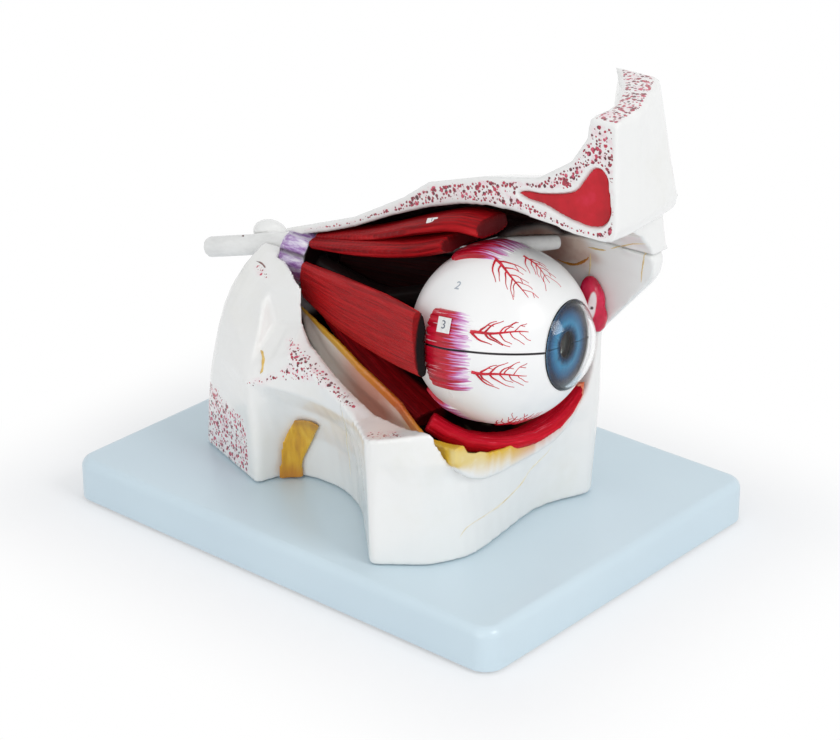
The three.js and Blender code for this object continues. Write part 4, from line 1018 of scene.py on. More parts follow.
# %% Optic nerve
nerve = reskin("optic_nerve", "optic_nerve_cord", 0.75, 4)
place, _ = corners(nerve)
mark(nerve, "in_hollow", soft_step(place[:, 0], -60, -54))
nerve_paint = Paint("nerve_white", 0.28, 0.1, 0.25)
cord_noise = nerve_paint.noise(1.0, 4, 0.55, nerve_paint.mapped((60, 130, 130)))
pale = nerve_paint.ramp(cord_noise, (0.3, rgb(226, 226, 224)), (0.6, rgb(242, 242, 240)))
dark_shade_tone = nerve_paint.ramp(cord_noise, (0.35, rgb(12, 8, 8)), (0.7, rgb(40, 20, 20)))
nerve_paint.colour(nerve_paint.mix(nerve_paint.attribute("in_hollow"), pale, dark_shade_tone))
nerve_paint.rough(nerve_paint.scaled(nerve_paint.attribute("in_hollow"), 0.5, 0.26))
nerve_paint.relief(cord_noise, 0.2, 0.15)
nerve.data.materials.append(nerve_paint.material)

# %% Nerve band on the notch
band = reskin("infraorbital_nerve", "nerve_band_casting", 0.5, 16)
place, _ = corners(band)
mark(band, "foot", soft_step(34 - place[:, 2], 0, 11))
mark(band, "edge", soft_step(place[:, 2], 50, 56))
ochre = Paint("ochre", 0.32, 0.4)
strokes = ochre.noise(1.0, 4, 0.6, ochre.mapped((300, 300, 60)))
tone = ochre.ramp(strokes, (0.30, rgb(196, 138, 14)), (0.5, rgb(220, 166, 24)), (0.7, rgb(232, 188, 56)))
tone = ochre.mix(ochre.times(ochre.attribute("foot"), 0.6), tone, rgb(190, 104, 30))
ochre.colour(ochre.mix(ochre.times(ochre.attribute("edge"), 0.5), tone, rgb(150, 96, 16)))
ochre.relief(strokes, 0.35, 0.5)
band.data.materials.append(ochre.material)

# %% Sinus lining
sinus = reskin("frontal_sinus_lining", "sinus_casting", 0.6, 3)
place, facing = corners(sinus)
depth = sawn_depth(place, facing[:, 1] < -0.85)
dice = np.random.default_rng(5)
swell = sum(np.sin(place @ dice.normal(0, 0.16, 3) + dice.uniform(0, 6)) for _ in range(5)) / 5
set_corners(sinus, place + np.array([0, 1.0, 0]) * (0.25 + 0.35 * swell * soft_step(depth, 0, 4))[:, None])
sinus_paint = mottled(Paint("sinus_red", 0.3, 0.2, 0.25), (60, 4, 0.55), 0.5, 0.4,
                      (0.32, rgb(172, 2, 22)), (0.55, rgb(202, 10, 34)), (0.75, rgb(220, 40, 74)))
sinus.data.materials.append(sinus_paint.material)

# %% Fleshy inner corner
caruncle = reskin("lacrimal_caruncle", "caruncle_casting", 0.5, 3)
place, facing = corners(caruncle)
fold = np.exp(-((place[:, 2] - 119.6) / 3.0) ** 2) * soft_step(place[:, 0], 84.5, 87.5)
set_corners(caruncle, place - facing * (0.9 * fold)[:, None])
across, down = picture_place(place)
lean = (across - 592.0) + 0.12 * (down - 306.0)
mark(caruncle, "white_part", 1 - soft_step((lean / 4.2) ** 2 + ((down - 306.0) / 14.0) ** 2, 0.8, 1.2))
mark(caruncle, "pit", 1 - soft_step(np.hypot(across - 591.5, down - 308.5), 1.3, 2.0))
flesh = Paint("flesh_crimson", 0.26, 0.3, 0.3)
wetness = flesh.noise(150, 3)
tone = flesh.ramp(wetness, (0.35, rgb(188, 6, 52)), (0.6, rgb(216, 14, 70)), (0.8, rgb(232, 70, 112)))
tone = flesh.mix(flesh.attribute("white_part"), tone, rgb(240, 230, 232))
flesh.colour(flesh.mix(flesh.attribute("pit"), tone, rgb(60, 12, 30)))
flesh.relief(wetness, 0.4, 0.4)
caruncle.data.materials.append(flesh.material)

# %% [markdown]
# ## Muscle ends on the ball
# The four muscles are cut where they meet the ball, and their ends are raised 1.7 mm on the
# white. Each is a grid wrapped on the ball, thick at the cut end and run out to nothing in front,
# then thickened into the shell. The two side ones are split by the seam, one piece per half.

# %% Wrapping a grid on the ball
def pad_frame(facing, pull):
    out = Vector(facing).normalized()
    along = Vector(pull)
    along = (along - out * along.dot(out)).normalized()
    return np.array(out), np.array(along), np.array(out.cross(along))


def on_ball(frame_axes, a, b, height):
    """Points of the eyeball's frame, a along and b across from the middle of a patch, in mm."""
    out, along, across = frame_axes
    reach = np.maximum(np.hypot(a, b), 1e-6)
    angle = reach / BALL
    flat = (a[:, None] * along + b[:, None] * across) / reach[:, None]
    return (out * np.cos(angle)[:, None] + flat * np.sin(angle)[:, None]) * (BALL + height)[:, None]


def into_scene(points):
    return points @ np.array(EYE_FRAME).T + np.array(EYE)


def into_eye(points):
    return (points - np.array(EYE)) @ np.array(EYE_FRAME)


RISE = 1.7


def muscle_end(name, facing, pull, half_length, half_width, sides, side_of_seam, body, seed):
    axes = pad_frame(facing, pull)
    deselect()
    bpy.ops.mesh.primitive_grid_add(x_subdivisions=76, y_subdivisions=84, size=2)
    pad = bpy.context.object
    pad.name = name
    place, _ = corners(pad)
    u, v = place[:, 0] * MM, place[:, 1] * MM
    low, high = sides
    b = low + (high - low) * (v + 1) / 2
    round_off = (1 - np.clip(np.abs(b / half_width), 0, 1) ** 5) ** 0.2
    fringe = strands(b / 10, np.zeros(len(b)), np.zeros(len(b)), seed + 50, 21)
    rear = -half_length * round_off + 1.1 * fringe
    front = half_length * (0.82 + 0.30 * fringe) * (0.6 + 0.4 * round_off)
    a = rear + (front - rear) * (u + 1) / 2
    ripple = strands(b / 10, a, np.zeros(len(b)), seed, 15)
    edge_low = soft_step(b - low, 0, 1.3) if abs(low) > 5 else 1.0
    edge_high = soft_step(high - b, 0, 1.3) if abs(high) > 5 else 1.0
    cut = soft_step(u, -1.0, -0.955)
    run_out = 1 - soft_step(u, -0.1, 0.98)
    height = RISE * (0.16 + 0.84 * run_out) * cut * edge_low * edge_high
    height += 0.42 * (ripple - 0.8) * run_out * cut - 0.42 * (1 - run_out)
    local = on_ball(axes, a, b, height)
    if side_of_seam > 0:
        local[:, 2] = np.maximum(local[:, 2], SEAM_GAP)
    elif side_of_seam < 0:
        local[:, 2] = np.minimum(local[:, 2], -SEAM_GAP)
    set_corners(pad, into_scene(local))
    work(pad, "SOLIDIFY", thickness=2.3 * MM, offset=-1)
    start_edit(pad)
    finish_edit()
    mark_pad(pad, axes, half_length)
    smooth_to(pad, 50)
    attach(pad, body)
    return pad


def mark_pad(pad, axes, half_length):
    """Gives each vertex its mm along and across the patch, and its share towards the front."""
    place, _ = corners(pad)
    local = into_eye(place)
    local /= np.linalg.norm(local, axis=1)[:, None]
    out, along, across = axes
    a = np.arctan2(local @ along, local @ out) * BALL
    b = np.arctan2(local @ across, local @ out) * BALL
    mark_vector(pad, "fibre", np.stack([a, b, np.zeros(len(a))], 1))
    mark(pad, "to_front", a / half_length)
    mark(pad, "rear_wall", soft_step(-a / half_length, 0.93, 0.99))


upper_body, lower_body = "sclera_upper_half", "sclera_lower_half"
OUTER = ((-0.05, -0.99, -0.09), (1, 0, 0), 13.4, 16.9)
OUTER_TALL = (*OUTER[:3], 20.9)
INNER = ((-0.05, 0.99, 0), (1, 0, 0), 12.8, 13.2)
TOP = ((-0.10, -0.04, 0.98), (1, 0, 0), 16.4, 16.9)
UNDER = ((-0.35, -0.35, -0.87), (0.9, -0.3, -0.3), 14.2, 12.2)
pads = [
    muscle_end("outer_end_upper", *OUTER_TALL, (3.7, 20.5), 1, upper_body, 1),
    muscle_end("outer_end_lower", *OUTER, (-16.5, 3.6), -1, lower_body, 2),
    muscle_end("inner_end_upper", *INNER, (-12.8, 0.1), 1, upper_body, 3),
    muscle_end("inner_end_lower", *INNER, (-0.1, 12.8), -1, lower_body, 4),
    muscle_end("top_end", *TOP, (-16.5, 13.0), 0, upper_body, 5),
    muscle_end("under_end", *UNDER, (-11.8, 11.8), 0, lower_body, 6),
]
print("muscle ends", [len(pad.data.polygons) for pad in pads])

# %% [markdown]
# The ends are crimson with white tendon threads. Towards the front the crimson breaks into lilac
# and then into the white of the ball, thread by thread.

# %% Paint of the muscle ends
ends = Paint("tendon_end_crimson", 0.3, 0.25, 0.3)
a, b, _ = ends.parts(ends.attribute("fibre", "Vector"))
thread_way = ends.joined(ends.times(a, 0.055), ends.times(b, 1.15), 0.0)
threads = ends.noise(1.0, 4, 0.62, thread_way)
broad_way = ends.joined(ends.times(a, 0.035), ends.times(b, 0.42), 3.0)
broad = ends.noise(1.0, 3, 0.6, broad_way)
front = ends.scaled(ends.minus(threads, 0.5), 2.6, ends.attribute("to_front"))
front = ends.scaled(ends.minus(broad, 0.5), 1.0, front)
tone = ends.ramp(broad, (0.3, rgb(146, 2, 26)), (0.5, rgb(192, 6, 38)), (0.68, rgb(214, 20, 56)))
white_thread = ends.fade(threads, 0.60, 0.68)
tone = ends.mix(ends.times(white_thread, 0.85), tone, rgb(246, 232, 238))
tone = ends.mix(ends.fade(front, 0.05, 0.42), tone, rgb(198, 120, 184))
tone = ends.mix(ends.fade(front, 0.38, 0.66), tone, rgb(226, 196, 226))
tone = ends.mix(ends.fade(front, 0.62, 0.86), tone, rgb(244, 244, 243))
# The rear wall of each end is painted dark, as painted shade under its cut edge.
tone = ends.mix(ends.attribute("rear_wall"), tone, rgb(60, 6, 18))
ends.colour(seam_line(ends, tone))
ends.relief(threads, 0.5, 0.7)
for pad in pads:
    pad.data.materials.append(ends.material)

# %% [markdown]
# ## Vessels on the ball
# Fine trees of vessels spread from the muscle ends towards the cornea. Each is a set of curves
# laid on the ball, thick at the root and thin at the tips, then turned into a raised line of
# enamel. A tree is a wavy trunk with twigs on alternate sides.

# %% Growing the trees
def on_white(longitude, latitude, height=0.0):
    """A place on the ball: degrees from the gaze to the outer side, and degrees up."""
    lon, lat = math.radians(longitude), math.radians(latitude)
    local = Vector((math.cos(lat) * math.cos(lon), -math.cos(lat) * math.sin(lon), math.sin(lat)))
    return from_eye(local * (BALL + height))


def toward(start, end, share):
    """A direction part of the way between two directions, along the ball."""
    return (start * (1 - share) + end * share).normalized()


def tree(start, end, twigs, reach, seed, weight=1.0):
    """Runs of (direction, thickness) for a trunk and its twigs."""
    dice = np.random.default_rng(seed)
    root = (on_white(*start) / MM - EYE).normalized()
    tip = (on_white(*end) / MM - EYE).normalized()
    ahead = (tip - root * tip.dot(root)).normalized()
    side = root.cross(ahead)
    span = root.angle(tip)
    trunk = []
    for i in range(13):
        s = i / 12
        sway = side * (0.016 * math.sin(5.5 * s + seed) * min(1, 3 * s))
        trunk.append(((toward(root, tip, s) + sway).normalized(), weight * (1.1 - 0.8 * s)))
    runs = [trunk]
    for k in range(twigs):
        s = 0.06 + 0.84 * k / twigs + dice.uniform(-0.025, 0.025)
        hand = 1 if k % 2 else -1
        base, thick = trunk[min(int(round(s * 12)), 12)]
        size = reach * (1.0 - 0.3 * s) * dice.uniform(0.75, 1.15)
        lean = dice.uniform(0.35, 0.8)
        run = []
        for i in range(8):
            t = i / 7
            out = side * hand * size * (0.75 * t ** 0.85) + ahead * size * (lean * t + 0.55 * t * t)
            wave = side * 0.006 * math.sin(9 * t + k)
            run.append(((base + out + wave).normalized(), thick * 0.85 * (1 - 0.7 * t)))
        runs.append(run)
        if k % 4 == 1:
            fork, fork_thick = run[4]
            off = ahead * size * 0.42 - side * hand * size * 0.05
            runs.append([((fork + off * (i / 5)).normalized(), fork_thick * (0.8 - 0.6 * i / 5))
                         for i in range(6)])
    return runs


def beads(name, radius, runs):
    """Fine beads along runs of (place in metres, share of the radius), as one piece."""
    curve = bpy.data.curves.new(name, "CURVE")
    curve.dimensions = "3D"
    curve.bevel_depth = radius * MM
    curve.bevel_resolution = 2
    curve.use_fill_caps = True
    for run in runs:
        line = curve.splines.new("POLY")
        line.points.add(len(run) - 1)
        for point, (place, share) in zip(line.points, run):
            point.co = (*place, 1)
            point.radius = share
    piece = active(placed(name, curve))
    bpy.ops.object.convert(target="MESH")
    bpy.ops.object.shade_smooth()
    return piece


def vessels(name, trees, body):
    """All the trees of one half as one raised piece."""
    runs = [[((EYE + direction * (BALL - 0.12 + 0.02 * thickness)) * MM, max(thickness, 0.30))
             for direction, thickness in run] for one in trees for run in one]
    piece = beads(name, 0.72, runs)
    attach(piece, body)
    return piece


upper_trees = [
    tree((78, 12.5), (41, 13.0), 11, 0.23, 3),
    tree((76, 67), (39.5, 35), 10, 0.25, 8),
    tree((22, 69), (13, 44), 9, 0.20, 12, 0.7),
    tree((-80, 12), (-42, 14), 10, 0.22, 21),
]
lower_trees = [
    tree((76.5, -13), (41, -13.5), 11, 0.23, 5),
    tree((66, -78), (38, -52), 8, 0.22, 14),
    tree((20, -75), (22, -50), 7, 0.20, 17),
    tree((-78, -12), (-42, -14), 10, 0.22, 23),
]
vessel_pieces = [vessels("vessels_upper", upper_trees, upper_body),
                 vessels("vessels_lower", lower_trees, lower_body)]
vessel = mottled(Paint("vessel_crimson", 0.3, 0.2, 0.3), (220, 3), 0.2, 0.4,
                 (0.3, rgb(176, 4, 30)), (0.6, rgb(206, 16, 44)), (0.8, rgb(224, 70, 94)))
for piece in vessel_pieces:
    piece.data.materials.append(vessel.material)
print("vessel faces", [len(piece.data.polygons) for piece in vessel_pieces])

# %% [markdown]
# ## Numbers of the key
# Teaching models carry small numbers for a key. One is a paper tag on the outer muscle's end, one
# is printed straight on the white, and one sits on the lifting muscle of the lid.

# %% Tags and digits
def faced(outward, upward):
    """The turn that faces a flat piece outward, with its top upward."""
    across = upward.cross(outward).normalized()
    rise = outward.cross(across).normalized()
    return Matrix((across, rise, outward)).transposed().to_euler()


def digit(name, text, size, middle, outward, upward, depth, body):
    """A flat digit, raised a little, facing outward at a place of the scene in metres."""
    deselect()
    bpy.ops.object.text_add()
    made = bpy.context.object
    made.name = name
    made.data.body = text
    made.data.size = size * MM
    made.data.align_x, made.data.align_y = "CENTER", "CENTER"
    made.data.extrude = depth * MM
    made.rotation_euler = faced(outward, upward)
    made.location = middle
    bpy.ops.object.convert(target="MESH")
    bpy.ops.object.transform_apply(location=True, rotation=True, scale=True)
    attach(made, body)
    return made


def plate(name, width, height, thick, middle, outward, upward, body):
    """A small square-cut tag with softened corners."""
    deselect()
    bpy.ops.mesh.primitive_cube_add(size=1)
    made = bpy.context.object
    made.name = name
    made.scale = (width * MM, height * MM, thick * MM)
    made.rotation_euler = faced(outward, upward)
    made.location = middle
    bpy.ops.object.transform_apply(location=True, rotation=True, scale=True)
    work(made, "BEVEL", width=0.18 * MM, segments=2)
    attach(made, body)
    return made


paper = mottled(Paint("tag_paper", 0.55, 0.1), (700, 3), 0.1, 0.3,
                (0.3, rgb(226, 226, 224)), (0.7, rgb(240, 240, 238)))
ink = mottled(Paint("tag_ink", 0.4, 0.2), (500, 3), 0.05, 0.3,
              (0.3, rgb(66, 74, 92)), (0.7, rgb(96, 104, 122)))
faint = mottled(Paint("faint_print", 0.3, 0.6), (420, 3), 0.05, 0.3,
                (0.3, rgb(138, 152, 166)), (0.7, rgb(182, 190, 198)))
tag_out = (on_white(95.5, 14.0) / MM - EYE).normalized()
tag = plate("key_tag_outer", 6.9, 6.8, 0.5, (EYE + tag_out * (BALL + 2.15)) * MM, tag_out, UP, upper_body)
tag.data.materials.append(paper.material)
three = digit("key_digit_3", "3", 5.2, (EYE + tag_out * (BALL + 2.4)) * MM, tag_out, UP, 0.06, upper_body)
three.data.materials.append(ink.material)
two_out = (on_white(97.5, 40) / MM - EYE).normalized()
two = digit("key_digit_2", "2", 5.6, (EYE + two_out * (BALL + 0.02)) * MM, two_out, UP, 0.10, upper_body)
two.data.materials.append(faint.material)
lid_place, lid_out = Vector((33.1, -21.7, 163.4)), Vector((-0.1, -0.55, 0.83)).normalized()
lid_up = Vector((-0.25, 0.5, 0.4))
small_tag = plate("key_tag_lid", 5.4, 2.8, 0.4, lid_place * MM, lid_out, lid_up, "orbit")
small_tag.data.materials.append(paper.material)
one = digit("key_digit_1", "1", 2.8, (lid_place + lid_out * 0.2) * MM, lid_out, lid_up, 0.06, "orbit")
one.data.materials.append(ink.material)

# %% [markdown]
# ## Tendon of the oblique muscle
# A short white tendon lies over the top of the ball, where the pulley's muscle would pull it. It
# is a tapered rod with a rounded tip, fixed to the upper half.

# %% Oblique tendon
tendon_stub = rod("oblique_tendon", from_eye((-3, 7, 38)), from_eye((9, 31, 38)), 4.2, 3.2, 64)
work(tendon_stub, "BEVEL", width=0.7 * MM, segments=4)
skinned(tendon_stub, 0.5, 3)
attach(tendon_stub, upper_body)
tendon_stub.data.materials.append(nerve_paint.material)

# %% [markdown]
# ## Cornea
# A clear dome of acrylic, a little tighter than the ball, cemented on the upper half. It is turned
# as a thin wall with a rounded lip, so it bends and mirrors what is behind and around it.

# %% Turning the cornea
SEAT_X = LIMBUS_X + 0.3
DOME = 26.6
DOME_WALL = 1.8
DOME_MIDDLE = SEAT_X - math.sqrt(DOME ** 2 - LIMBUS ** 2)
edge_out = math.degrees(math.acos((SEAT_X - DOME_MIDDLE) / DOME))
edge_in = math.degrees(math.acos((SEAT_X - DOME_MIDDLE) / (DOME - DOME_WALL)))
dome = arc(DOME, 0, edge_out, 40, DOME_MIDDLE) + arc(DOME - DOME_WALL, edge_in, 0, 40, DOME_MIDDLE)
cornea = smooth_to(turned("clear_cornea", dome, 144), 60)
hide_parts("cornea")
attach(cornea, upper_body)
clear = Paint("clear_acrylic", 0.02, 0.0, 0.42, **{"Transmission Weight": 1.0, "IOR": 1.32})
scuff = clear.noise(120, 4, 0.6)
clear.colour(clear.ramp(scuff, (0.3, rgb(250, 252, 254)), (0.7, rgb(255, 255, 255))))
clear.rough(clear.times(clear.fade(scuff, 0.5, 0.9), 0.03))
clear.relief(clear.noise(40, 2), 0.02, 0.1)
cornea.data.materials.append(clear.material)

# %% [markdown]
# ## Iris
# The iris is a thin dished ring, split at the seam with the choroid it is glued in. Its front has
# a raised collar near the pupil and fine furrows that run out from it. Both are pressed in as
# real relief and then painted: navy at the rim, bright blue between, pale threads.

# %% Turning the iris
IRIS_FRONT = LIMBUS_X - 0.4
IRIS_BACK = IRIS_FRONT - 1.8
IRIS_RIM = BORE - 0.4
PUPIL = 5.6
iris_outline = [(IRIS_BACK, PUPIL), (IRIS_BACK, IRIS_RIM), (IRIS_FRONT - 0.5, IRIS_RIM),
                (IRIS_FRONT - 0.1, IRIS_RIM - 0.8)]
radii = np.linspace(IRIS_RIM - 1.4, PUPIL + 0.5, 34)
iris_outline += [(IRIS_FRONT - 0.35 + 0.32 * math.exp(-((r - 9.2) / 1.1) ** 2), r) for r in radii]
iris_outline += [(IRIS_FRONT - 0.55, PUPIL + 0.15), (IRIS_FRONT - 0.9, PUPIL)]
iris_whole = turned("iris_whole", iris_outline, 240, closed=True)


def furrowed(piece):
    """Presses the radial furrows into the front face of the iris."""
    place, facing = corners(piece)
    local = into_eye(place)
    angle = np.arctan2(local[:, 2], local[:, 1])
    radius = np.hypot(local[:, 1], local[:, 2])
    front = soft_step(facing @ np.array(GAZE), 0.5, 0.8)
    wave = 0.5 + 0.25 * np.sin(47 * angle + 1.5 * np.sin(3 * angle))
    wave = wave + 0.25 * np.sin(71 * angle + radius * 0.5)
    zone = soft_step(radius, PUPIL + 0.3, PUPIL + 1.5)
    zone = zone * (1 - soft_step(radius, IRIS_RIM - 2.2, IRIS_RIM - 1.0))
    set_corners(piece, place - np.array(GAZE) * (0.28 * wave * zone * front)[:, None])


def two_halves(whole, part, ending, degrees):
    """Cuts a turned piece in two. Each half rides with the choroid on its side of the seam."""
    halves = []
    for side in ("upper", "lower"):
        half = smooth_to(halved(whole, f"{part}_{side}{ending}", side == "upper"), degrees)
        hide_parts(f"{part}_{side}")
        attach(half, f"choroid_{side}_half")
        halves.append(half)
    drop(whole)
    return halves


furrowed(iris_whole)
iris_pieces = two_halves(iris_whole, "iris", "_painted", 40)

# %% Iris paint
iris_paint = Paint("iris_blue", 0.5, 0.0, 0.08)
gx, gy, gz = iris_paint.parts(eye_place(iris_paint))
out_from = iris_paint.hypotenuse(gy, gz)
share = iris_paint.math("DIVIDE", iris_paint.minus(out_from, PUPIL * MM), (IRIS_RIM - PUPIL) * MM)
ray_way = (iris_paint.math("DIVIDE", gy, out_from), iris_paint.math("DIVIDE", gz, out_from), share)
rays = iris_paint.noise(1.0, 5, 0.65, iris_paint.stretched(ray_way, (22.0, 22.0, 1.6)))
rings_at = iris_paint.scaled(iris_paint.minus(rays, 0.5), 0.34, share)
tone = iris_paint.ramp(rings_at, (0.0, rgb(4, 12, 26)), (0.12, rgb(14, 58, 94)), (0.32, rgb(60, 138, 178)),
                       (0.55, rgb(34, 98, 142)), (0.76, rgb(6, 32, 68)), (0.90, rgb(3, 6, 18)))
pale_ray = iris_paint.fade(rays, 0.56, 0.70)
within = iris_paint.times(iris_paint.fade(share, 0.02, 0.14), iris_paint.fade(share, 0.80, 0.55))
pale_share = iris_paint.times(iris_paint.times(pale_ray, within), 0.35)
tone = iris_paint.mix(pale_share, tone, rgb(120, 176, 208))
dark_ray = iris_paint.fade(rays, 0.42, 0.32)
tone = iris_paint.mix(iris_paint.times(dark_ray, 0.6), tone, rgb(8, 26, 56))
behind_front = iris_paint.fade(gx, (IRIS_BACK + 0.7) * MM, (IRIS_BACK + 0.2) * MM)
tone = iris_paint.mix(behind_front, tone, rgb(16, 12, 12))
iris_paint.colour(tone)
iris_paint.relief(rays, 0.3, 0.5)
for half in iris_pieces:
    half.data.materials.append(iris_paint.material)

# %% [markdown]
# ## Choroid, vitreous body and lens
# Inside the white lies a thin dark shell in two halves, then a clear ball of jelly with a dish in
# front that holds the lens. They show once the eyeball is drawn out and opened.

# %% Turning the inner parts
CHOROID_OUT = BALL - WALL - 0.4
CHOROID_IN = CHOROID_OUT - 2
CHOROID_FRONT = IRIS_BACK - 0.3


def angle_at(radius, x):
    return math.degrees(math.acos(x / radius))


choroid_outline = arc(CHOROID_OUT, 180, angle_at(CHOROID_OUT, CHOROID_FRONT), 72)
choroid_outline += arc(CHOROID_IN, angle_at(CHOROID_IN, CHOROID_FRONT), 180, 72)
choroid_whole = turned("choroid_whole", choroid_outline)
choroid_pieces = two_halves(choroid_whole, "choroid", "_shell", 35)
LENS_RIM_X = IRIS_BACK - 1.6 - 4.6
LENS_R = 13.5


def lens_curve(grow, steps=28):
    """The lens outline from front pole to back pole, grown all round by a gap."""
    front = [(LENS_RIM_X + (4.6 + grow) * math.cos(a), (LENS_R + grow) * math.sin(a))
             for a in np.linspace(0, math.pi / 2, steps)]
    rear = [(LENS_RIM_X - (7.4 + grow) * math.cos(a), (LENS_R + grow) * math.sin(a))
            for a in np.linspace(math.pi / 2, 0, steps)][1:]
    return front, rear


front, rear = lens_curve(0.0)
lens = smooth_to(turned("clear_lens", front + rear, 128), 60)
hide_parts("lens")
_, dish = lens_curve(0.3)
JELLY = CHOROID_IN - 0.4
CUT_X = LENS_RIM_X - 0.6
dish = [(x, r) for x, r in dish if x < CUT_X - 0.05]
jelly_outline = arc(JELLY, 180, angle_at(JELLY, CUT_X), 72)
jelly_outline += [(CUT_X, LENS_R + 1.2), (CUT_X, dish[0][1])] + dish
jelly = smooth_to(turned("vitreous_jelly", jelly_outline))
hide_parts("vitreous_body")
for piece, name in ((lens, "lens"), (jelly, "vitreous")):
    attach(piece, "vitreous")

# %% Paint of the inner parts
dark_coat = Paint("choroid_brown", 0.45, 0.0, 0.15)
from_middle = dark_coat.node("ShaderNodeVectorMath", "Value", {0: eye_place(dark_coat)}, operation="LENGTH")
outer_face = dark_coat.fade(from_middle, (CHOROID_IN + 0.4) * MM, (CHOROID_OUT - 0.4) * MM)
from_edge = dark_coat.cells(62, dark_coat.mapped((1, 2.2, 2.2)), "DISTANCE_TO_EDGE")
vein = dark_coat.fade(from_edge, 0.10, 0.03)
mottle = dark_coat.noise(80, 4, 0.6)
retina = dark_coat.ramp(mottle, (0.3, rgb(150, 52, 26)), (0.7, rgb(186, 84, 48)))
retina = dark_coat.mix(dark_coat.times(vein, 0.8), retina, rgb(166, 24, 34))
coat = dark_coat.ramp(mottle, (0.3, rgb(56, 26, 22)), (0.7, rgb(98, 48, 36)))
coat = dark_coat.mix(dark_coat.times(vein, 0.7), coat, rgb(150, 40, 40))
dark_coat.colour(dark_coat.mix(outer_face, retina, coat))
dark_coat.relief(dark_coat.minus(mottle, vein), 0.3, 0.5)
for half in choroid_pieces:
    half.data.materials.append(dark_coat.material)
glassy = Paint("lens_acrylic", 0.04, 0.0, 0.1, **{"Transmission Weight": 1.0, "IOR": 1.46})
mottled(glassy, (90, 3), 0.1, 0.15, (0.3, rgb(236, 240, 232)), (0.7, rgb(248, 250, 244)))
lens.data.materials.append(glassy.material)
milky = Paint("vitreous_acrylic", 0.08, 0.0, 0.1, **{"Transmission Weight": 1.0, "IOR": 1.40})
mottled(milky, (40, 4), 0.2, 0.2, (0.3, rgb(206, 220, 222)), (0.7, rgb(232, 240, 240)))
jelly.data.materials.append(milky.material)

# %% [markdown]
# ## The stand
# The stand is one moulding of pale blue plastic: a plate with round corners and a soft top edge,
# open below, with ribs and screw posts under its deck. It is made as a mould maker would draw
# it: a block, its corners rounded, then the underside pulled up to leave the walls.

# %% Moulding the stand
BASE = (260.0, 195.0, 22.0)
TRAY_BOTTOM, TRAY_WALL, TRAY_DEPTH = 1.5, 3, 17
CORNER_ROUND, TOP_ROUND = 10, 5
deselect()
bpy.ops.mesh.primitive_cube_add(size=1, location=(0, 0, (BASE[2] + TRAY_BOTTOM) / 2 * MM))
stand = bpy.context.object
stand.name = "stand_moulding"
stand.scale = (BASE[0] * MM, BASE[1] * MM, (BASE[2] - TRAY_BOTTOM) * MM)
bpy.ops.object.transform_apply(location=True, rotation=True, scale=True)


def pick(piece, kind, test):
    """In edit mode: selects only the faces or edges for which the test holds."""
    mesh = bmesh.from_edit_mesh(piece.data)
    bpy.context.tool_settings.mesh_select_mode = (False, kind == "EDGE", kind == "FACE")
    for group in (mesh.verts, mesh.edges, mesh.faces):
        for item in group:
            item.select_set(False)
    for item in (mesh.edges if kind == "EDGE" else mesh.faces):
        if test(item):
            item.select_set(True)
    if kind == "FACE":
        mesh.select_flush(True)
    bmesh.update_edit_mesh(piece.data)


def upright(edge):
    a, b = edge.verts
    return abs(a.co.x - b.co.x) < 1e-6 and abs(a.co.y - b.co.y) < 1e-6


def around_top(edge):
    return all(v.co.z > (BASE[2] - 0.01) * MM for v in edge.verts) and len(
        [f for f in edge.link_faces if f.normal.z > 0.9]) == 1


start_edit(stand)
pick(stand, "EDGE", upright)
bpy.ops.mesh.bevel(offset=CORNER_ROUND * MM, segments=12)
pick(stand, "EDGE", around_top)
bpy.ops.mesh.bevel(offset=TOP_ROUND * MM, segments=8)
pick(stand, "FACE", lambda face: face.normal.z < -0.9)
bpy.ops.mesh.inset(thickness=TRAY_WALL * MM)
bpy.ops.mesh.extrude_region_move(TRANSFORM_OT_translate={"value": (0, 0, TRAY_DEPTH * MM)})
finish_edit()
print("stand faces", len(stand.data.polygons))

# %% Ribs, posts and foot pads under the deck
def slab(low, high):
    """A plain block between two corners in mm, used as a boolean tool."""
    deselect()
    low, high = Vector(low), Vector(high)
    bpy.ops.mesh.primitive_cube_add(size=1, location=(low + high) / 2 * MM)
    made = bpy.context.object
    made.scale = (high - low) * MM
    bpy.ops.object.transform_apply(location=True, rotation=True, scale=True)
    return made


def upright_rod(name, x, y, low, high, radius, tip, sides=48):
    """A rod that stands upright between two heights, all in mm."""
    return rod(name, (x * MM, y * MM, low * MM), (x * MM, y * MM, high * MM), radius, tip, sides)


SCREWS = ((-58, -10), (58, -10), (56, -60))
RIB_LOW, DECK = 7, 19
FEET = [(x * 113, y * 80.5) for x in (-1, 1) for y in (-1, 1)]
for x in (-58, 58):
    joined_or_cut(stand, slab((x - 1.3, -95, RIB_LOW), (x + 1.3, 95, DECK)), "UNION")
joined_or_cut(stand, slab((-127.5, -11.3, RIB_LOW), (127.5, -8.7, DECK)), "UNION")
for x, y in SCREWS:
    joined_or_cut(stand, upright_rod("post", x, y, RIB_LOW, DECK, 6.5, 6.5), "UNION")
    joined_or_cut(stand, upright_rod("screw_hole", x, y, 5, 24, 2.3, 2.3), "DIFFERENCE")
for x, y in FEET:
    joined_or_cut(stand, upright_rod("foot_pad", x, y, 5, DECK, 9.5, 9.5), "UNION")
smooth_to(stand, 30)
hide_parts("base_plate")
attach(stand, "orbit")
moulded = Paint("pale_blue_plastic", 0.34, 0.25)
flow = moulded.noise(9, 3, 0.5)
moulded.colour(moulded.ramp(flow, (0.3, rgb(203, 221, 231)), (0.7, rgb(209, 227, 236))))
moulded.rough(moulded.scaled(moulded.noise(160, 2), 0.12, 0.28))
moulded.relief(moulded.noise(1400, 2), 0.04, 0.25)
stand.data.materials.append(moulded.material)

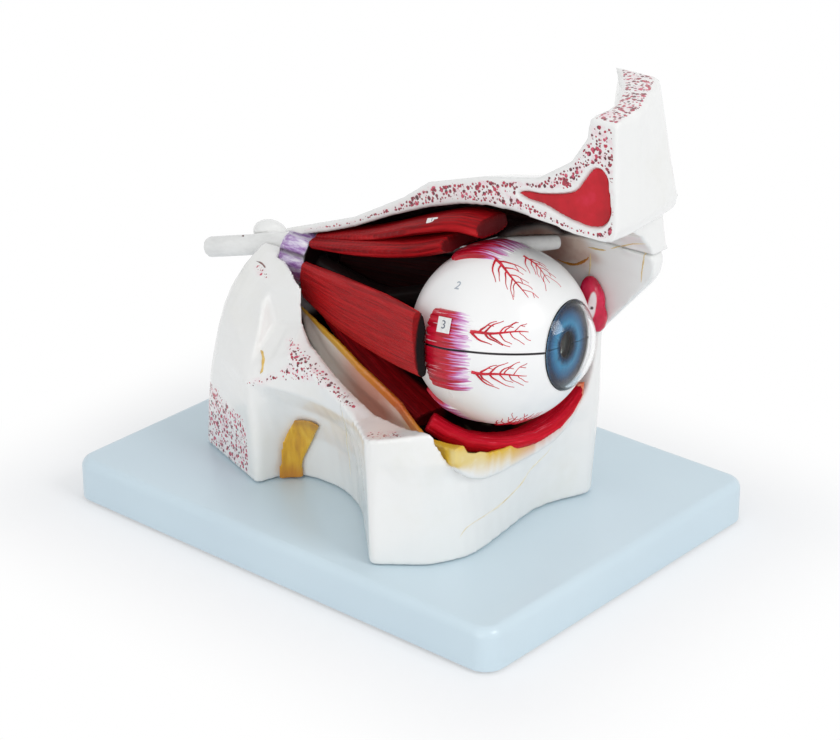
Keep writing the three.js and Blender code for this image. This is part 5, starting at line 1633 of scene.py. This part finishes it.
# %% [markdown]
# Four rubber feet and three steel screws are hardly seen, but they are there when the model is
# turned over. A foot is a disc with a rolled edge and a dished face. A screw has a cross recess.

# %% Feet and screws
rubber = mottled(Paint("grey_rubber", 0.8), (900, 3), 0.08, 0.5,
                 (0.3, rgb(128, 134, 138)), (0.7, rgb(158, 164, 168)))
steel = Paint("plated_steel", 0.3, Metallic=1.0)
brush = steel.noise(1.0, 3, 0.5, steel.mapped((900, 900, 90)))
steel.colour(steel.ramp(brush, (0.3, rgb(168, 172, 176)), (0.7, rgb(206, 208, 210))))
steel.rough(steel.scaled(brush, 0.2, 0.2))
steel.relief(brush, 0.04, 0.3)
for i in range(4):
    low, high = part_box(f"foot_{i + 1}")
    middle = (low + high) / 2
    deselect()
    bpy.ops.mesh.primitive_cylinder_add(vertices=64, radius=8 * MM, depth=5 * MM, location=middle)
    foot = bpy.context.object
    foot.name = f"rubber_foot_{i + 1}"
    bpy.ops.object.transform_apply(location=True, rotation=True, scale=True)
    bpy.ops.object.mode_set(mode="EDIT")
    pick(foot, "EDGE", lambda edge: not upright(edge))
    bpy.ops.mesh.bevel(offset=0.8 * MM, segments=4)
    pick(foot, "FACE", lambda face: face.normal.z < -0.99)
    bpy.ops.mesh.inset(thickness=1.6 * MM)
    bpy.ops.mesh.inset(thickness=0.5 * MM, depth=-0.6 * MM)
    bpy.ops.object.mode_set(mode="OBJECT")
    smooth_to(foot, 40)
    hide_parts(f"foot_{i + 1}")
    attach(foot, "orbit")
    foot.data.materials.append(rubber.material)
for i, (x, y) in enumerate(SCREWS):
    head = upright_rod(f"steel_screw_{i + 1}", x, y, 4.1, 6.6, 3.9, 3.9)
    work(head, "BEVEL", width=0.5 * MM, segments=3, limit_method="ANGLE")
    shank = upright_rod("shank", x, y, 6, 32.4, 1.95, 1.2, 32)
    joined_or_cut(head, shank, "UNION")
    for wide, long in ((0.55, 2.3), (2.3, 0.55)):
        joined_or_cut(head, slab((x - wide, y - long, 3.5), (x + wide, y + long, 5.4)), "DIFFERENCE")
    smooth_to(head, 35)
    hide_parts(f"base_screw_{i + 1}")
    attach(head, "orbit")
    head.data.materials.append(steel.material)
print("feet and screws done")

# %% [markdown]
# ## Painted lines and small marks on the bone
# Sutures are thin tan lines drawn with a fine brush. Each is one fine bead laid on the casting:
# a smooth run of points is dropped on the bone, and the bead follows it.

# %% Laying a line on a casting
def lay_line(name, bones, points, width, drop_along, paint, seed):
    """A thin painted line through points in mm, dropped on the castings along a direction."""
    trees = [BVHTree.FromObject(bone, bpy.context.evaluated_depsgraph_get()) for bone in bones]
    run = bent_line(points, 12 * len(points))[0]
    fine = []
    for a, b in zip(run, run[1:]):
        steps = max(1, int(np.linalg.norm(b - a) / 1.2))
        fine += [a + (b - a) * k / steps for k in range(steps)]
    fine.append(run[-1])
    dice = np.random.default_rng(seed)
    toward_bone = Vector(drop_along).normalized()
    laid = []
    for point in fine:
        sway = Vector(dice.normal(0, 0.05, 3))
        start = (Vector(point) + sway - toward_bone * 30) * MM
        found = [hit for hit in (tree.ray_cast(start, toward_bone, 60 * MM) for tree in trees) if hit[0]]
        if found:
            best = min(found, key=lambda hit: hit[3])
            laid.append(best[0] - best[1] * width * 0.2 * MM)
    tapered = []
    for i, place in enumerate(laid):
        thick = math.sin(math.pi * (i + 0.5) / len(laid)) ** 0.5
        tapered.append((place, thick * (0.9 + 0.1 * math.sin(i * 0.35 + seed))))
    piece = beads(name, 0.5 * width, [tapered])
    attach(piece, "orbit")
    piece.data.materials.append(paint)
    return piece


def line_paint(name, dark, light):
    """A brushed line colour that thins out here and there."""
    return mottled(Paint(name, 0.35, 0.3), (180, 4, 0.6), 0.1, 0.4, (0.34, dark), (0.66, light)).material


tan = line_paint("suture_tan", rgb(212, 176, 104), rgb(234, 218, 176))
pale_tan = line_paint("suture_pale", rgb(226, 212, 176), rgb(238, 234, 222))
maroon = line_paint("crack_maroon", rgb(74, 30, 34), rgb(132, 84, 80))
yellow = line_paint("crescent_yellow", rgb(214, 168, 62), rgb(232, 204, 130))
brown = line_paint("groove_brown", rgb(176, 104, 26), rgb(214, 156, 70))
nose_side, from_front, from_above, outer_down = (0, 1, 0), (-1, 0, 0), (0, 0, -1), (0, 0.7, -0.7)
LINES = (
    ("suture_inner_wall", (60.2, 66, 72, 78, 80), (33, 33, 33, 33, 32), (135.6, 134.8, 135.6, 139.5, 142),
     1.7, nose_side, brown, (1, 0)),
    ("suture_nose_top", (79, 83, 87, 91), (31, 31, 30, 30), (146.6, 146.8, 147.2, 148),
     1.3, nose_side, tan, (1, 0)),
    ("suture_nose_front", (81.2, 80.6, 80.2, 79.6, 79), (31, 32, 32, 33, 33), (145.5, 141, 138, 134, 130),
     1.2, nose_side, tan, (1,)),
    ("suture_brow", (91, 96, 102, 108, 114, 117), (30, 30, 28, 26, 25, 25), (148.6, 151, 154, 157, 159, 160),
     1.0, nose_side, tan, (0, 1)),
    ("suture_nose_ridge", (113.5, 112, 110.6, 109, 108.2), (26, 30, 31, 33, 34), (156, 151, 147, 141, 134.5),
     1.0, nose_side, tan, (0, 1)),
    ("suture_notch", (13.6, 12.4, 8.6, 4.6, 3.4, 3.4), (-61, -57, -52, -47, -45, -44),
     (80, 71, 63, 52, 42, 30), 1.2, nose_side, pale_tan, (1, 2)),
    ("suture_front_leg", (80, 78.4, 77.7, 77.6, 78.9, 79.8, 77.5),
     (11.3, 5.3, -4.7, -11.8, -27.7, -50, -57.5), (57.6, 51.7, 47.6, 42.7, 39.2, 38.3, 30.5),
     1.2, from_front, pale_tan, (1,)),
    ("crack_apex", (-76, -72, -68, -65.5), (-23.3, -24, -25.5, -27), (116, 116, 116, 115), 1.1, from_above,
     maroon, (2,)),
    ("nerve_mark", (-101.6, -100.4, -99.2), (-6, -6.4, -7), (117, 117, 116.6), 1.3, from_above, maroon, ()),
    ("crescent_rear", (-49.1, -46, -42.5, -41.2, -42.5), (-49.6, -51, -54, -56, -56.7),
     (86.5, 85.8, 83.8, 80, 77.5), 2.2, outer_down, yellow, (2,)),
)
for seed, (name, xs, ys, zs, width, drop_along, paint, chosen) in enumerate(LINES):
    bones = [castings[i] for i in chosen] or [nerve]
    lay_line(name, bones, list(zip(xs, ys, zs)), width, drop_along, paint, seed + 1)
